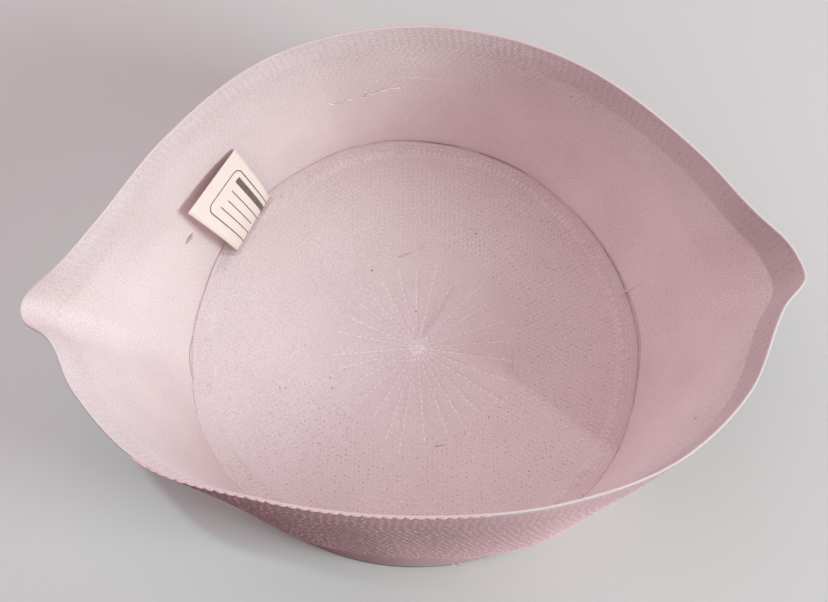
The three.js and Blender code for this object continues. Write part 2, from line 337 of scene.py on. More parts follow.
class Wall:
    """Middle surface of the side band: a run of cloth at every angle, with a belly and a turned rim."""

    ARC_STEPS = 1440
    TILT_STEP = 1.0
    FRAME_DEG = 0.2
    FRAME_RISE = 0.3 * MM
    LEAST_TURN = 0.28
    TURN_NEAR = 25
    TURN_FAR = 70
    SOFT_DEG = 7.0
    SHARP_FROM = 0.3

    def __init__(self):
        self.sizes = sizes()
        self.deg = np.array([row.crown_deg for row in SECTIONS], float)
        reach = np.array([row.reach for row in SECTIONS]) * MM
        rim = polar(np.array([row.rim_deg for row in SECTIONS]), reach, 0.0)
        belly = np.array([row.belly for row in SECTIONS]) * MM
        self.ends = np.column_stack((rim[:, :2], belly))
        self.span = np.diff(self.deg, append=self.deg[0] + 360)
        chord = (np.roll(self.ends, -1, axis=0) - self.ends) / self.span[:, None]
        before = np.roll(self.span, 1)
        weighted = np.roll(chord, 1, axis=0) * self.span[:, None] + chord * before[:, None]
        self.slope = weighted / (before + self.span)[:, None]
        self.round_deg = np.linspace(0, 360, self.ARC_STEPS + 1)
        self.soft = self.softened()
        girth = self.points(self.round_deg, self.sizes.slant - self.sizes.hem_depth / 2, 0.0)
        steps = np.linalg.norm(np.diff(girth, axis=0), axis=1)
        self.girth = steps.sum()
        self.round_turn = np.concatenate(([0], np.cumsum(steps))) / self.girth

    def softened(self):
        """The rim's plan with its folded corners rounded off, at every step round."""
        plan = self.ends_at(self.round_deg[:-1])[:, :2]
        away = (self.round_deg[:-1] + 180) % 360 - 180
        weight = np.exp(-0.5 * (away / self.SOFT_DEG) ** 2)
        spread = np.fft.fft(weight / weight.sum())
        return np.column_stack([np.fft.ifft(np.fft.fft(column) * spread).real for column in plan.T])

    def turn_at(self, deg):
        return np.interp(np.asarray(deg) % 360, self.round_deg, self.round_turn)

    def deg_at(self, turn):
        return np.interp(np.asarray(turn) % 1, self.round_turn, self.round_deg)

    def ends_at(self, deg):
        """Plan of the rim, and the wall's belly, at each angle."""
        deg = np.asarray(deg, float) % 360
        i = np.searchsorted(self.deg, deg, side="right") - 1
        j = (i + 1) % len(self.deg)
        t = (((deg - self.deg[i]) % 360) / self.span[i])[..., None]
        span = self.span[i][..., None]
        end = (2 * t**3 - 3 * t**2 + 1) * self.ends[i] + (t**3 - 2 * t**2 + t) * span * self.slope[i]
        return end + (3 * t**2 - 2 * t**3) * self.ends[j] + (t**3 - t**2) * span * self.slope[j]

    def runs(self, deg):
        """Foot and rim of the run at each angle, and its belly."""
        deg = np.asarray(deg, float) % 360
        end = self.ends_at(deg)
        foot = polar(deg, self.sizes.foot_radius + np.maximum(seam_shift(deg), 0), self.sizes.foot_lift)
        lean = np.linalg.norm(end[..., :2] - foot[..., :2], axis=-1)
        rise = self.sizes.foot_lift + np.sqrt(self.sizes.slant**2 - lean**2)
        return foot, np.concatenate((end[..., :2], rise[..., None]), axis=-1), end[..., 2]

    def straight(self, deg, share):
        """Points of the runs, where the fold of the rim's corners fades further down."""
        foot, rim, _ = self.runs(deg)
        deg = np.asarray(deg, float) % 360
        places = self.round_deg[:-1]
        soft = np.stack([np.interp(deg, places, column, period=360) for column in self.soft.T], axis=-1)
        fade = (share * (1 - smooth_step(self.SHARP_FROM, 1, share)))[..., None]
        run = foot + (rim - foot) * share[..., None]
        return run + fade * np.concatenate((soft - rim[..., :2], np.zeros_like(rim[..., :1])), axis=-1)

    def points(self, deg, along, outward):
        """Points at an angle, a distance along the cloth from the seam and a distance out from its middle."""
        deg, along, outward = np.broadcast_arrays(*(np.asarray(x, float) for x in (deg, along, outward)))
        foot, rim, belly = self.runs(deg)
        share = along / self.sizes.slant
        across = self.straight(deg + self.TILT_STEP, share) - self.straight(deg - self.TILT_STEP, share)
        out = unit(np.cross(across, rim - foot))
        hem = np.maximum(0, (along - self.sizes.slant + self.sizes.hem_depth) / self.sizes.hem_depth)
        near_right = share_near(deg, 0, self.TURN_NEAR, self.TURN_FAR)
        turn = self.LEAST_TURN + (1 - self.LEAST_TURN) * near_right
        bow = belly * np.sin(np.pi * share) - self.sizes.rim_turn * turn * hem
        return self.straight(deg, share) + out * (outward + bow)[..., None]

    def inner_reach(self, deg, height):
        """Reach of the wall's inner face at a height near the seam."""
        foot, rim, _ = self.runs(deg)
        share = (height - foot[..., 2]) / (rim[..., 2] - foot[..., 2])
        reach, _ = polar_of(foot + (rim - foot) * share[..., None])
        upright = (rim[..., 2] - foot[..., 2]) / self.sizes.slant
        return reach + (np.minimum(seam_shift(deg), 0) - self.sizes.band_cloth / 2) / upright

    def frames(self, deg, along, outward):
        """Points with the directions round the cap, up the cloth and out of it."""
        ahead = self.points(deg + self.FRAME_DEG, along, outward)
        behind = self.points(deg - self.FRAME_DEG, along, outward)
        above = self.points(deg, along + self.FRAME_RISE, outward)
        below = self.points(deg, along - self.FRAME_RISE, outward)
        around = unit(ahead - behind)
        up = unit(above - below)
        return self.points(deg, along, outward), around, up, unit(np.cross(around, up))


class BandRelief:
    """Height of the band's cloth over its smooth form: stitched rows, soft waves and creases."""

    ROW_DEPTH = 0.04 * MM
    FADE_START = 14 * MM
    TAPER = 6 * MM
    HEM_STEP = 0.8 * MM
    FOOT_BULGE = 16 * MM
    RIM_STILL = 0.5 * MM
    RIM_FREE = 1.5 * MM
    WAVE_RISE = 0.22 * MM
    WAVE_LEAN = 2
    WAVES = (Wave(5, 0.7, 1.0), Wave(9, 2.1, 0.7), Wave(14, 4.4, 0.45), Wave(23, 1.3, 0.3))
    CREASE_END = 0.1

    def __init__(self, wall):
        self.wall = wall
        rows = stitching()
        self.first = rows.band_first
        self.pitch = rows.band_pitch
        self.depth = self.first + rows.band_rows * self.pitch
        self.slant = sizes().slant

    def face(self, along, side):
        """Distance of one face from the wall's middle: thicker inside at the hem, and thin at the rim."""
        size = self.wall.sizes
        down = self.slant - along
        hem = (side < 0) * (1 - smooth_step(size.hem_depth - self.HEM_STEP, size.hem_depth, down))
        half = size.band_cloth / 2 + size.hem_fold * hem
        return side * (size.rim_half + (half - size.rim_half) * smooth_step(0, self.TAPER, down))

    def rows(self, along):
        """Cloth pulled down along each row of stitches, fading away from the rim."""
        down = self.slant - along
        fade = 1 - smooth_step(self.FADE_START, self.depth, down)
        free = smooth_step(self.RIM_STILL, self.RIM_FREE, down)
        return -self.ROW_DEPTH * np.cos(math.tau * (down - self.first) / self.pitch) * fade * free

    def waves(self, deg, along):
        """Slow unevenness of the wall, which the seam and the rim hold still."""
        share = along / self.slant
        waves = waves_round(self.WAVES, np.radians(deg), self.WAVE_LEAN * share)
        lift = self.WAVE_RISE * waves * np.sin(np.pi * share)
        for crease in CREASES:
            lift = lift - self.crease(crease, deg, along)
        return lift

    def crease(self, crease, deg, along):
        """A rounded ridge along the line between a crease's two ends."""
        scale = self.wall.sizes.foot_radius * math.pi / 180
        start = np.array([0.0, crease.from_along * MM])
        end = np.array([(crease.to_deg - crease.from_deg) * scale, crease.to_along * MM])
        offset = (np.asarray(deg) - crease.from_deg + 180) % 360 - 180
        place = np.stack(np.broadcast_arrays(offset * scale, along), axis=-1)
        line = end - start
        share = np.clip((place - start) @ line / (line @ line), 0, 1)
        away = np.linalg.norm(place - start - share[..., None] * line, axis=-1)
        run = np.sin(np.pi * (self.CREASE_END + (1 - 2 * self.CREASE_END) * share))
        return crease.rise * MM * np.exp(-(away / (crease.width * MM)) ** 2) * run

    def out(self, deg, along, outward):
        """Distance out from the wall's middle, with the relief of the face that it belongs to."""
        inner = outward < 0
        side = np.where(inner, -1.0, 1.0)
        foot = inner * np.minimum(seam_shift(deg), 0) * (1 - smooth_step(0, self.FOOT_BULGE, along))
        return outward + side * self.rows(along) + self.waves(deg, along) + foot


class CrownRelief:
    """Height of the crown's cloth over its flat faces: the rosette's swells, its rays, folds and rings."""

    SWELL = 0.28 * MM
    RAY_DEPTH = 0.16 * MM
    RAY_WIDTH = 0.5 * MM
    RING_DEPTH = 0.02 * MM
    OUTER_SHARE = 0.35
    CENTRE = 2.5 * MM
    FADE = 4 * MM
    UNEVEN = 0.18 * MM
    STILL_MIDDLE = 0.2
    STILL_EDGE = 0.85
    SADDLE = (Wave(2, 0.6, 1.0),)
    SPIRALS = (Wave(3, 2.2, 0.7), Wave(1, 0, 0.5))
    TWISTS = (3, 7)
    FOLD_FADE = 0.75

    # Deeper folds beside rays: direction and width in degrees, depth, start and end in millimetres.
    Fold = namedtuple("Fold", "deg width depth start end")
    FOLDS = (
        Fold(66, 6.5, 1.15, 3, 28),
        Fold(40, 3.5, 0.5, 8, 26),
        Fold(194, 6, 0.4, 1.5, 12),
        Fold(96, 5, 0.5, 2, 15),
    )

    def __init__(self):
        rows = stitching()
        self.first = rows.ring_first
        self.pitch = rows.ring_pitch
        self.last = rows.ring_first + (rows.ring_rows - 1) * rows.ring_pitch
        self.ray_deg = np.array([ray.deg for ray in RAYS])
        self.ray_end = np.array([ray.length for ray in RAYS]) * MM

    def about_rosette(self, radius, deg):
        return polar_of(polar(deg, radius, 0.0) - np.array([ROSETTE_X, ROSETTE_Y, 0.0]))

    def rosette(self, radius, deg):
        """Cloth that swells between two rays and is pulled down along each of them."""
        radius, deg = self.about_rosette(radius, deg)
        deg = deg % 360
        i = (np.searchsorted(self.ray_deg, deg, side="right") - 1) % len(RAYS)
        j = (i + 1) % len(RAYS)
        gap = (self.ray_deg[j] - self.ray_deg[i]) % 360
        part = (deg - self.ray_deg[i]) % 360
        share = part / gap
        end = self.ray_end[i] * (1 - share) + self.ray_end[j] * share
        reach = smooth_step(self.CENTRE, self.CENTRE + self.FADE, radius)
        reach = reach * (1 - smooth_step(end - self.FADE, end, radius))
        away = radius * np.radians(np.minimum(part, gap - part))
        pulled = self.RAY_DEPTH * np.exp(-(away / self.RAY_WIDTH) ** 2) * reach
        return self.SWELL * 4 * share * (1 - share) * reach - pulled

    def rings(self, radius):
        """Cloth pulled down along each ring of stitches."""
        zone = smooth_step(self.first - self.pitch, self.first, radius)
        zone = zone * (1 - smooth_step(self.last, self.last + self.pitch, radius))
        return -self.RING_DEPTH * np.cos(math.tau * (radius - self.first) / self.pitch) * zone

    def folds(self, radius, deg):
        """Deeper folds between some of the rays."""
        radius, deg = self.about_rosette(radius, deg)
        drop = 0.0
        for fold in self.FOLDS:
            start, end = fold.start * MM, fold.end * MM
            off = ((deg - fold.deg + 180) % 360 - 180) / fold.width
            reach = smooth_step(start, 2 * start, radius)
            reach = reach * (1 - smooth_step(self.FOLD_FADE * end, end, radius))
            drop = drop - fold.depth * MM * np.exp(-off * off) * reach
        return drop

    def uneven(self, radius, deg):
        """Slow swells of the whole disc."""
        angle = np.radians(deg)
        share = radius / sizes().crown_radius
        waves = waves_round(self.SADDLE, angle) * share
        for spiral, twist in zip(self.SPIRALS, self.TWISTS):
            waves = waves + waves_round([spiral], angle, twist * share)
        moving = smooth_step(0, self.STILL_MIDDLE, share) * (1 - smooth_step(self.STILL_EDGE, 1, share))
        return self.UNEVEN * waves * moving

    def inside(self, radius, deg):
        stitched = self.rosette(radius, deg) + self.rings(radius)
        return stitched + self.folds(radius, deg) + self.uneven(radius, deg)

    def outside(self, radius, deg):
        return self.OUTER_SHARE * (self.rosette(radius, deg) + self.rings(radius))


MERGE = 0.001 * MM


def turned(profile, steps):
    """Spin a profile of turn points round the upright axis into a shell with its normals outward."""
    bm = bmesh.new()
    tip = bm.verts.new((profile[0].radius, 0, profile[0].height))
    for start, end in zip(profile, profile[1:]):
        length = math.hypot(end.radius - start.radius, end.height - start.height)
        cuts = math.ceil(length / start.spacing)
        for cut in range(1, cuts + 1):
            share = cut / cuts
            tip = bmesh.ops.extrude_vert_indiv(bm, verts=[tip])["verts"][0]
            tip.co.x = start.radius + (end.radius - start.radius) * share
            tip.co.z = start.height + (end.height - start.height) * share
    sector = math.tau / SECTORS
    about = {"axis": (0, 0, 1), "cent": (0, 0, 0)}
    bmesh.ops.spin(bm, geom=bm.verts[:] + bm.edges[:], angle=sector, steps=steps // SECTORS, **about)
    bmesh.ops.spin(
        bm, geom=bm.verts[:] + bm.edges[:] + bm.faces[:], angle=math.tau - sector, steps=SECTORS - 1,
        use_duplicate=True, **about)
    bmesh.ops.remove_doubles(bm, verts=bm.verts[:], dist=MERGE)
    bmesh.ops.recalc_face_normals(bm, faces=bm.faces[:])
    return bm


def vertex_points(bm):
    return np.array([vert.co for vert in bm.verts], float)


def move_vertices(bm, points):
    for vert, point in zip(bm.verts, points):
        vert.co = point


def mesh_from(bm, name):
    mesh = bpy.data.meshes.new(name)
    bm.to_mesh(mesh)
    bm.free()
    return mesh


def wrap_uv(mesh, name, turn, other):
    """A UV map from a turn and another value at each vertex, with the turn carried on past its start."""
    corner_vertex = np.zeros(len(mesh.loops), int)
    mesh.loops.foreach_get("vertex_index", corner_vertex)
    starts = np.zeros(len(mesh.polygons), int)
    mesh.polygons.foreach_get("loop_start", starts)
    totals = np.zeros(len(mesh.polygons), int)
    mesh.polygons.foreach_get("loop_total", totals)
    turns = turn[corner_vertex]
    highest = np.repeat(np.maximum.reduceat(turns, starts), totals)
    turns = np.where(highest - turns > 0.5, turns + 1, turns)
    places = np.column_stack((turns, other[corner_vertex])).astype(np.float32)
    layer = mesh.uv_layers.new(name=name)
    layer.uv.foreach_set("vector", places.ravel())


def add_piece(name, mesh, material, node=None):
    """Put a finished mesh in the scene, riding on the cap's body."""
    mesh.materials.append(material)
    mesh.shade_smooth()
    piece = bpy.data.objects.new(name, mesh)
    bpy.context.scene.collection.objects.link(piece)
    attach(piece, BODY)
    if node:
        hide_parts(node)
    return piece


# Many stitches: their middles, the ways that they run and face, and their lengths and widths.
Stitches = namedtuple("Stitches", "centre run face length width")
STITCH_HEIGHT = 0.8
STITCH_SAG = 0.55


def stitch_seed(sides, rings):
    """One stitch: a short round-ended piece of thread along X, as points and faces."""
    bm = bmesh.new()
    along_x = Matrix.Rotation(math.pi / 2, 4, "Y")
    bmesh.ops.create_uvsphere(bm, u_segments=sides, v_segments=rings, radius=1, matrix=along_x)
    bm.verts.index_update()
    points = vertex_points(bm)
    faces = [[vert.index for vert in face.verts] for face in bm.faces]
    bm.free()
    return points, faces


def stitch_mesh(name, fields, sides=6, rings=4):
    """Join a copy of the seed stitch for every place in the fields into one mesh."""
    seed, seed_faces = stitch_seed(sides, rings)
    whole = Stitches(*(np.concatenate(part) for part in zip(*fields)))
    side = np.cross(whole.face, whole.run)
    x, y, z = (seed[:, axis, None] for axis in range(3))
    half_length = whole.length[:, None, None] / 2
    half_width = whole.width[:, None, None] / 2
    points = whole.centre[:, None, :] + x * half_length * whole.run[:, None, :]
    points = points + y * half_width * side[:, None, :]
    bowed = STITCH_HEIGHT * z - STITCH_SAG * x * x
    points = points + bowed * half_width * whole.face[:, None, :]
    size = len(seed)
    faces = [[index + size * k for index in face] for k in range(len(points)) for face in seed_faces]
    mesh = bpy.data.meshes.new(name)
    mesh.from_pydata(points.reshape(-1, 3), [], faces)
    return mesh


def thread_mesh(name, paths, radius, closed=False):
    """Round threads along lists of points, as one mesh."""
    curve = bpy.data.curves.new(name, "CURVE")
    curve.dimensions = "3D"
    curve.bevel_depth = radius
    curve.bevel_resolution = 1
    curve.resolution_u = 2
    curve.use_fill_caps = True
    for path in paths:
        spline = curve.splines.new("NURBS")
        spline.points.add(len(path) - 1)
        spline.points.foreach_set("co", np.column_stack((path, np.ones(len(path)))).ravel())
        spline.order_u = 3
        spline.use_cyclic_u = closed
        spline.use_endpoint_u = not closed
    holder = bpy.data.objects.new(name, curve)
    mesh = bpy.data.meshes.new_from_object(holder)
    mesh.name = name
    bpy.data.objects.remove(holder)
    bpy.data.curves.remove(curve)
    return mesh


# Noise in a finish: its scale for each millimetre, its detail and its roughness.
Grain = namedtuple("Grain", "scale detail roughness")
WEAVE_FIBRE = Grain(3.5, 3.0, 0.6)
BROAD_MOTTLE = Grain(0.045, 3.0, 0.55)
FINE_MOTTLE = Grain(2.0, 3.0, 0.7)
HEM_SHADE_SPECKS = Grain(2.2, 2.0, 0.6)
OUTSIDE_SPECKS = Grain(1.8, 3.0, 0.7)
EDGE_SPECKS = Grain(1.5, 2.0, 0.5)
THREAD_FIBRE = Grain(4.0, 3.0, 0.6)
TAPE_FIBRE = Grain(3.0, 3.0, 0.6)
LINT_SHADE = Grain(2.0, 2.0, 0.5)
FLOOR_TONE = Grain(0.004, 2.0, 0.5)

# How a mask fades: the two values between which it changes, and what it is at each of them.
Fade = namedtuple("Fade", "low high start end")


class Graph:
    """A node tree with short calls to add nodes and join their sockets."""

    def __init__(self, tree):
        self.tree = tree

    def set(self, socket, value):
        if isinstance(value, bpy.types.NodeSocket):
            self.tree.links.new(value, socket)
        else:
            socket.default_value = value

    def add(self, kind, inputs=None, **settings):
        node = self.tree.nodes.new("ShaderNode" + kind)
        for key, value in settings.items():
            setattr(node, key, value)
        for key, value in (inputs or {}).items():
            self.set(node.inputs[key], value)
        return node

    def group(self, tree, inputs):
        return self.add("Group", inputs, node_tree=tree).outputs

    def math(self, operation, first, second=0.0):
        return self.add("Math", {0: first, 1: second}, operation=operation).outputs[0]

    def product(self, first, *others):
        for other in others:
            first = self.math("MULTIPLY", first, other)
        return first

    def apart(self, first, second):
        """Distance between two values."""
        return self.math("ABSOLUTE", self.math("SUBTRACT", first, second))

    def vector(self, operation, first, second):
        return self.add("VectorMath", {0: first, 1: second}, operation=operation).outputs[0]

    def scaled(self, vector, factor):
        return self.add("VectorMath", {0: vector, "Scale": factor}, operation="SCALE").outputs[0]

    def length(self, vector):
        return self.add("VectorMath", {0: vector}, operation="LENGTH").outputs["Value"]

    def along(self, vector, way):
        """How far a vector reaches one way."""
        return self.add("VectorMath", {0: vector, 1: way}, operation="DOT_PRODUCT").outputs["Value"]

    def axes(self, vector):
        return self.add("SeparateXYZ", {0: vector}).outputs

    def point(self, x, y, z=0.0):
        return self.add("CombineXYZ", {0: x, 1: y, 2: z}).outputs[0]

    def noise(self, place, grain):
        inputs = {"Vector": place, "Scale": grain.scale, "Detail": grain.detail, "Roughness": grain.roughness}
        return self.add("TexNoise", inputs).outputs["Fac"]

    def ramp(self, value, low, high, start=0.0, end=1.0):
        inputs = {"Value": value, "From Min": low, "From Max": high, "To Min": start, "To Max": end}
        return self.add("MapRange", inputs, interpolation_type="SMOOTHSTEP").outputs[0]

    def mix(self, factor, first, second):
        return self.add("Mix", {0: factor, 6: first, 7: second}, data_type="RGBA").outputs[2]


def new_group(name, inputs, outputs):
    """An empty shader node group with its sockets, its graph and its input and output nodes."""
    tree = bpy.data.node_groups.new(name, "ShaderNodeTree")
    for socket_name, kind in inputs:
        tree.interface.new_socket(name=socket_name, in_out="INPUT", socket_type="NodeSocket" + kind)
    for socket_name, kind in outputs:
        tree.interface.new_socket(name=socket_name, in_out="OUTPUT", socket_type="NodeSocket" + kind)
    source = tree.nodes.new("NodeGroupInput")
    result = tree.nodes.new("NodeGroupOutput")
    return tree, Graph(tree), source.outputs, result.inputs


WOBBLE_SCALE = 0.7
WOBBLE_DETAIL = 2.0
WOBBLE_REACH = 0.55
WEAVE_DEPTH = 0.35
WEAVE_MIDDLE = 0.5
FIBRE_DEPTH = 0.5


def weave_group():
    """Plain weave with slightly uneven threads: the height of the cloth, and its fibre."""
    if "Plain Weave" in bpy.data.node_groups:
        return bpy.data.node_groups["Plain Weave"]
    tree, graph, source, result = new_group(
        "Plain Weave", (("Place", "Vector"), ("Pitch", "Float")), (("Height", "Float"), ("Fibre", "Float")))
    uneven = {"Vector": source["Place"], "Scale": WOBBLE_SCALE, "Detail": WOBBLE_DETAIL}
    wobble = graph.add("TexNoise", uneven).outputs["Color"]
    wobble = graph.vector("SUBTRACT", wobble, (0.5, 0.5, 0.5))
    axes = graph.axes(graph.vector("ADD", source["Place"], graph.scaled(wobble, WOBBLE_REACH)))
    turns = graph.math("DIVIDE", math.pi, source["Pitch"])
    warp = graph.math("SINE", graph.product(axes[0], turns))
    weft = graph.math("SINE", graph.product(axes[1], turns))
    crossing = {0: graph.product(warp, weft), 1: WEAVE_DEPTH, 2: WEAVE_MIDDLE}
    height = graph.add("Math", crossing, operation="MULTIPLY_ADD").outputs[0]
    fibre = graph.noise(source["Place"], WEAVE_FIBRE)
    graph.set(result["Height"], graph.math("ADD", height, graph.product(fibre, FIBRE_DEPTH)))
    graph.set(result["Fibre"], fibre)
    return tree


HOLE_CORE = 0.35
HOLE_CHANCE = 0.5
PULL_REACH = 2.2
PULL_DEPTH = 0.6


def rows_group():
    """Rows of stitches: needle holes between stitches, which the materials paint as dark spots of shade, and
    cloth that puffs up away from them.
    """
    if "Stitched Rows" in bpy.data.node_groups:
        return bpy.data.node_groups["Stitched Rows"]
    inputs = ("Across", "Turn", "First", "Pitch", "Rows", "Stitches", "Added", "Drift", "Return", "Turned",
              "Stitch", "Hole")
    tree, graph, source, result = new_group(
        "Stitched Rows", [(name, "Float") for name in inputs], (("Holes", "Float"), ("Puff", "Float")))
    level = graph.math("DIVIDE", graph.math("SUBTRACT", source["Across"], source["First"]), source["Pitch"])
    row = graph.math("ROUND", level)
    off = graph.math("SUBTRACT", level, row)
    count = graph.math("ADD", source["Stitches"], graph.product(source["Added"], row))
    back = graph.product(source["Return"], graph.math("MINIMUM", row, source["Turned"]))
    step = graph.math("SUBTRACT", graph.product(source["Drift"], row), back)
    place = graph.math("SUBTRACT", graph.product(source["Turn"], count), step)
    aside = graph.product(graph.math("SUBTRACT", graph.math("FRACT", place), 0.5), source["Stitch"])
    away = graph.length(graph.point(aside, graph.product(off, source["Pitch"])))
    hole = graph.ramp(away, graph.product(source["Hole"], HOLE_CORE), source["Hole"], 1.0, 0.0)
    cell = graph.point(graph.math("FLOOR", place), row)
    chance = graph.add("TexWhiteNoise", {"Vector": cell}, noise_dimensions="2D").outputs["Value"]
    open_hole = graph.product(hole, graph.ramp(chance, HOLE_CHANCE, 1.0))
    from_first = graph.math("GREATER_THAN", level, -0.5)
    to_last = graph.math("LESS_THAN", level, graph.math("SUBTRACT", source["Rows"], 0.5))
    sewn = graph.product(from_first, to_last)
    graph.set(result["Holes"], graph.product(open_hole, sewn))
    pull = graph.ramp(away, 0.0, graph.product(source["Hole"], PULL_REACH), 1.0, 0.0)
    puff = graph.math("SUBTRACT", graph.math("ABSOLUTE", off), graph.product(pull, PULL_DEPTH))
    graph.set(result["Puff"], graph.product(puff, sewn))
    return tree


BROAD_SHARE = 0.25
FINE_SHARE = 1.1
FIBRE_SHARE = 0.4
MOTTLE = Fade(0.655, 1.095, 0.0, 1.0)


def tone_group():
    """Soft mottling between a cloth's two tones, and fine fibre in it."""
    if "Cloth Tone" in bpy.data.node_groups:
        return bpy.data.node_groups["Cloth Tone"]
    tree, graph, source, result = new_group(
        "Cloth Tone", (("Place", "Vector"), ("Light", "Color"), ("Deep", "Color"), ("Fibre", "Float")),
        (("Color", "Color"),))
    broad = graph.product(graph.noise(source["Place"], BROAD_MOTTLE), BROAD_SHARE)
    fine = graph.product(graph.noise(source["Place"], FINE_MOTTLE), FINE_SHARE)
    fibre = graph.product(source["Fibre"], FIBRE_SHARE)
    blend = graph.math("ADD", graph.math("ADD", broad, fine), fibre)
    graph.set(result["Color"], graph.mix(graph.ramp(blend, *MOTTLE), source["Light"], source["Deep"]))
    return tree


# Surface of a finish: its roughness and sheen, and the strength and depth of its bump.
Finish = namedtuple("Finish", "roughness sheen bump depth")
COTTON = Finish(0.88, 0.15, 0.5, 0.25 * MM)
EDGE_COTTON = Finish(0.9, 0.15, 0.4, 0.2 * MM)
THREAD = Finish(0.7, 0.2, 0.4, 0.1 * MM)
TAPE = Finish(0.55, 0.1, 0.15, 0.08 * MM)
LINT = Finish(0.9, 0.0, 0.0, 0.0)
FLOOR = Finish(0.85, 0.0, 0.0, 0.0)
SHEEN_ROUGHNESS = 0.6
SPECULAR = 0.2


def new_material(name, finish):
    """A material with its Principled shader, ready for a graph."""
    material = bpy.data.materials.new(name)
    material.use_nodes = True
    shader = material.node_tree.nodes["Principled BSDF"]
    shader.inputs["Roughness"].default_value = finish.roughness
    shader.inputs["Sheen Weight"].default_value = finish.sheen
    shader.inputs["Sheen Roughness"].default_value = SHEEN_ROUGHNESS
    shader.inputs["Specular IOR Level"].default_value = SPECULAR
    return material, Graph(material.node_tree), shader


def rgba(colour, factor=1.0):
    return (*(factor * part for part in colour), 1.0)


def add_bump(graph, shader, height, finish):
    bump = graph.add("Bump", {"Height": height, "Strength": finish.bump, "Distance": finish.depth})
    graph.set(shader.inputs["Normal"], bump.outputs["Normal"])


def object_place(graph):
    """Object coordinates in millimetres."""
    return graph.scaled(graph.add("TexCoord").outputs["Object"], PER_METRE)


WEAVE_PITCH = 0.55
WEAVE_HEIGHT = 0.26


def cotton(graph, place, light, deep):
    """Height of the weave, and the mottled colour of cotton in two tones."""
    weave = graph.group(weave_group(), {"Place": place, "Pitch": WEAVE_PITCH})
    tone = graph.group(tone_group(), {
        "Place": place, "Light": rgba(light), "Deep": rgba(deep), "Fibre": weave["Fibre"]})
    return weave["Height"], tone["Color"]


def cloth_finish(graph, shader, place, tones, holes, puff, tints=()):
    """Colour and bump of the cotton from its weave, its mottling and its stitched rows."""
    height, colour = cotton(graph, place, *tones)
    for mask, tint in tints:
        colour = graph.mix(mask, colour, rgba(tint))
    # Needle holes are painted as dark spots: painted shade in the holes.
    colour = graph.mix(holes, colour, rgba(colours().pinhole))
    graph.set(shader.inputs["Base Color"], colour)
    add_bump(graph, shader, graph.math("ADD", graph.product(height, WEAVE_HEIGHT), puff), COTTON)


CROWN_STITCH = 1.4
CROWN_HOLE = 0.32
CROWN_PUFF = 0.3
FRONT_RIGHT = (0.7, -0.7, 0.0)
CROWN_HOLES = Fade(-35.0, 5.0, 0.3, 0.9)


def crown_material():
    """Cotton of the crown, stitched in rings, with needle holes painted as dark spots of shade that show more
    in front on the right.
    """
    rows = stitching()
    material, graph, shader = new_material("Ringed Cotton", COTTON)
    place = object_place(graph)
    axes = graph.axes(place)
    stitched = graph.group(rows_group(), {
        "Across": graph.length(graph.point(axes[0], axes[1])),
        "Turn": graph.math("DIVIDE", graph.math("ARCTAN2", axes[1], axes[0]), math.tau),
        "First": rows.ring_first * PER_METRE,
        "Pitch": rows.ring_pitch * PER_METRE,
        "Rows": float(rows.ring_rows),
        "Stitches": float(rows.ring_count),
        "Added": float(rows.ring_added),
        "Drift": rows.ring_drift,
        "Return": 0.0,
        "Turned": 0.0,
        "Stitch": CROWN_STITCH,
        "Hole": CROWN_HOLE,
    })
    # The holes' painted shade shows more in front on the right.
    shown = graph.ramp(graph.along(place, FRONT_RIGHT), *CROWN_HOLES)
    holes = graph.product(stitched["Holes"], shown)
    puff = graph.product(stitched["Puff"], CROWN_PUFF)
    cloth_finish(graph, shader, place, (colours().crown, colours().crown_deep), holes, puff)
    return material


# Fades over the band, in millimetres: down from the rim, to the right and towards the back. The speckles
# turn noise into light and dark spots.
ROWS_DOWN = Fade(10.0, 30.0, 0.8, 0.1)
# The holes' painted shade shows less at the left.
ROWS_RIGHT = Fade(-60.0, 40.0, 0.45, 1.0)
# Painted tint of the outer face, which offsets the cool light on the front and fades towards the back.
OUTSIDE_DOWN = Fade(0.8, 2.4, 0.0, 1.0)
OUTSIDE_BACK = Fade(-30.0, 5.0, 1.0, 0.3)
OUTSIDE_SPECKLE = Fade(0.35, 0.65, 0.95, 0.45)
# Painted shade on the hem strip, growing towards the right, with speckles.
HEM_SHADE_RIGHT = Fade(15.0, 62.0, 0.0, 0.45)
HEM_SHADE_FAR_RIGHT = Fade(70.0, 95.0, 0.0, 0.55)
HEM_SHADE_SPECKLE = Fade(0.38, 0.62, 0.65, 1.25)
HEM_SHADE_BLUR = 0.6
# Painted highlight along the top of the rim, at the back and the right.
RIM_HIGHLIGHT_DOWN = Fade(0.45, 0.9, 0.6, 0.0)
RIM_HIGHLIGHT_RIGHT = Fade(-50.0, 20.0, 0.1, 1.0)
BAND_STITCH = 2.2
BAND_HOLE = 0.36
BAND_PUFF = 0.45
FACES_APART = 40.0


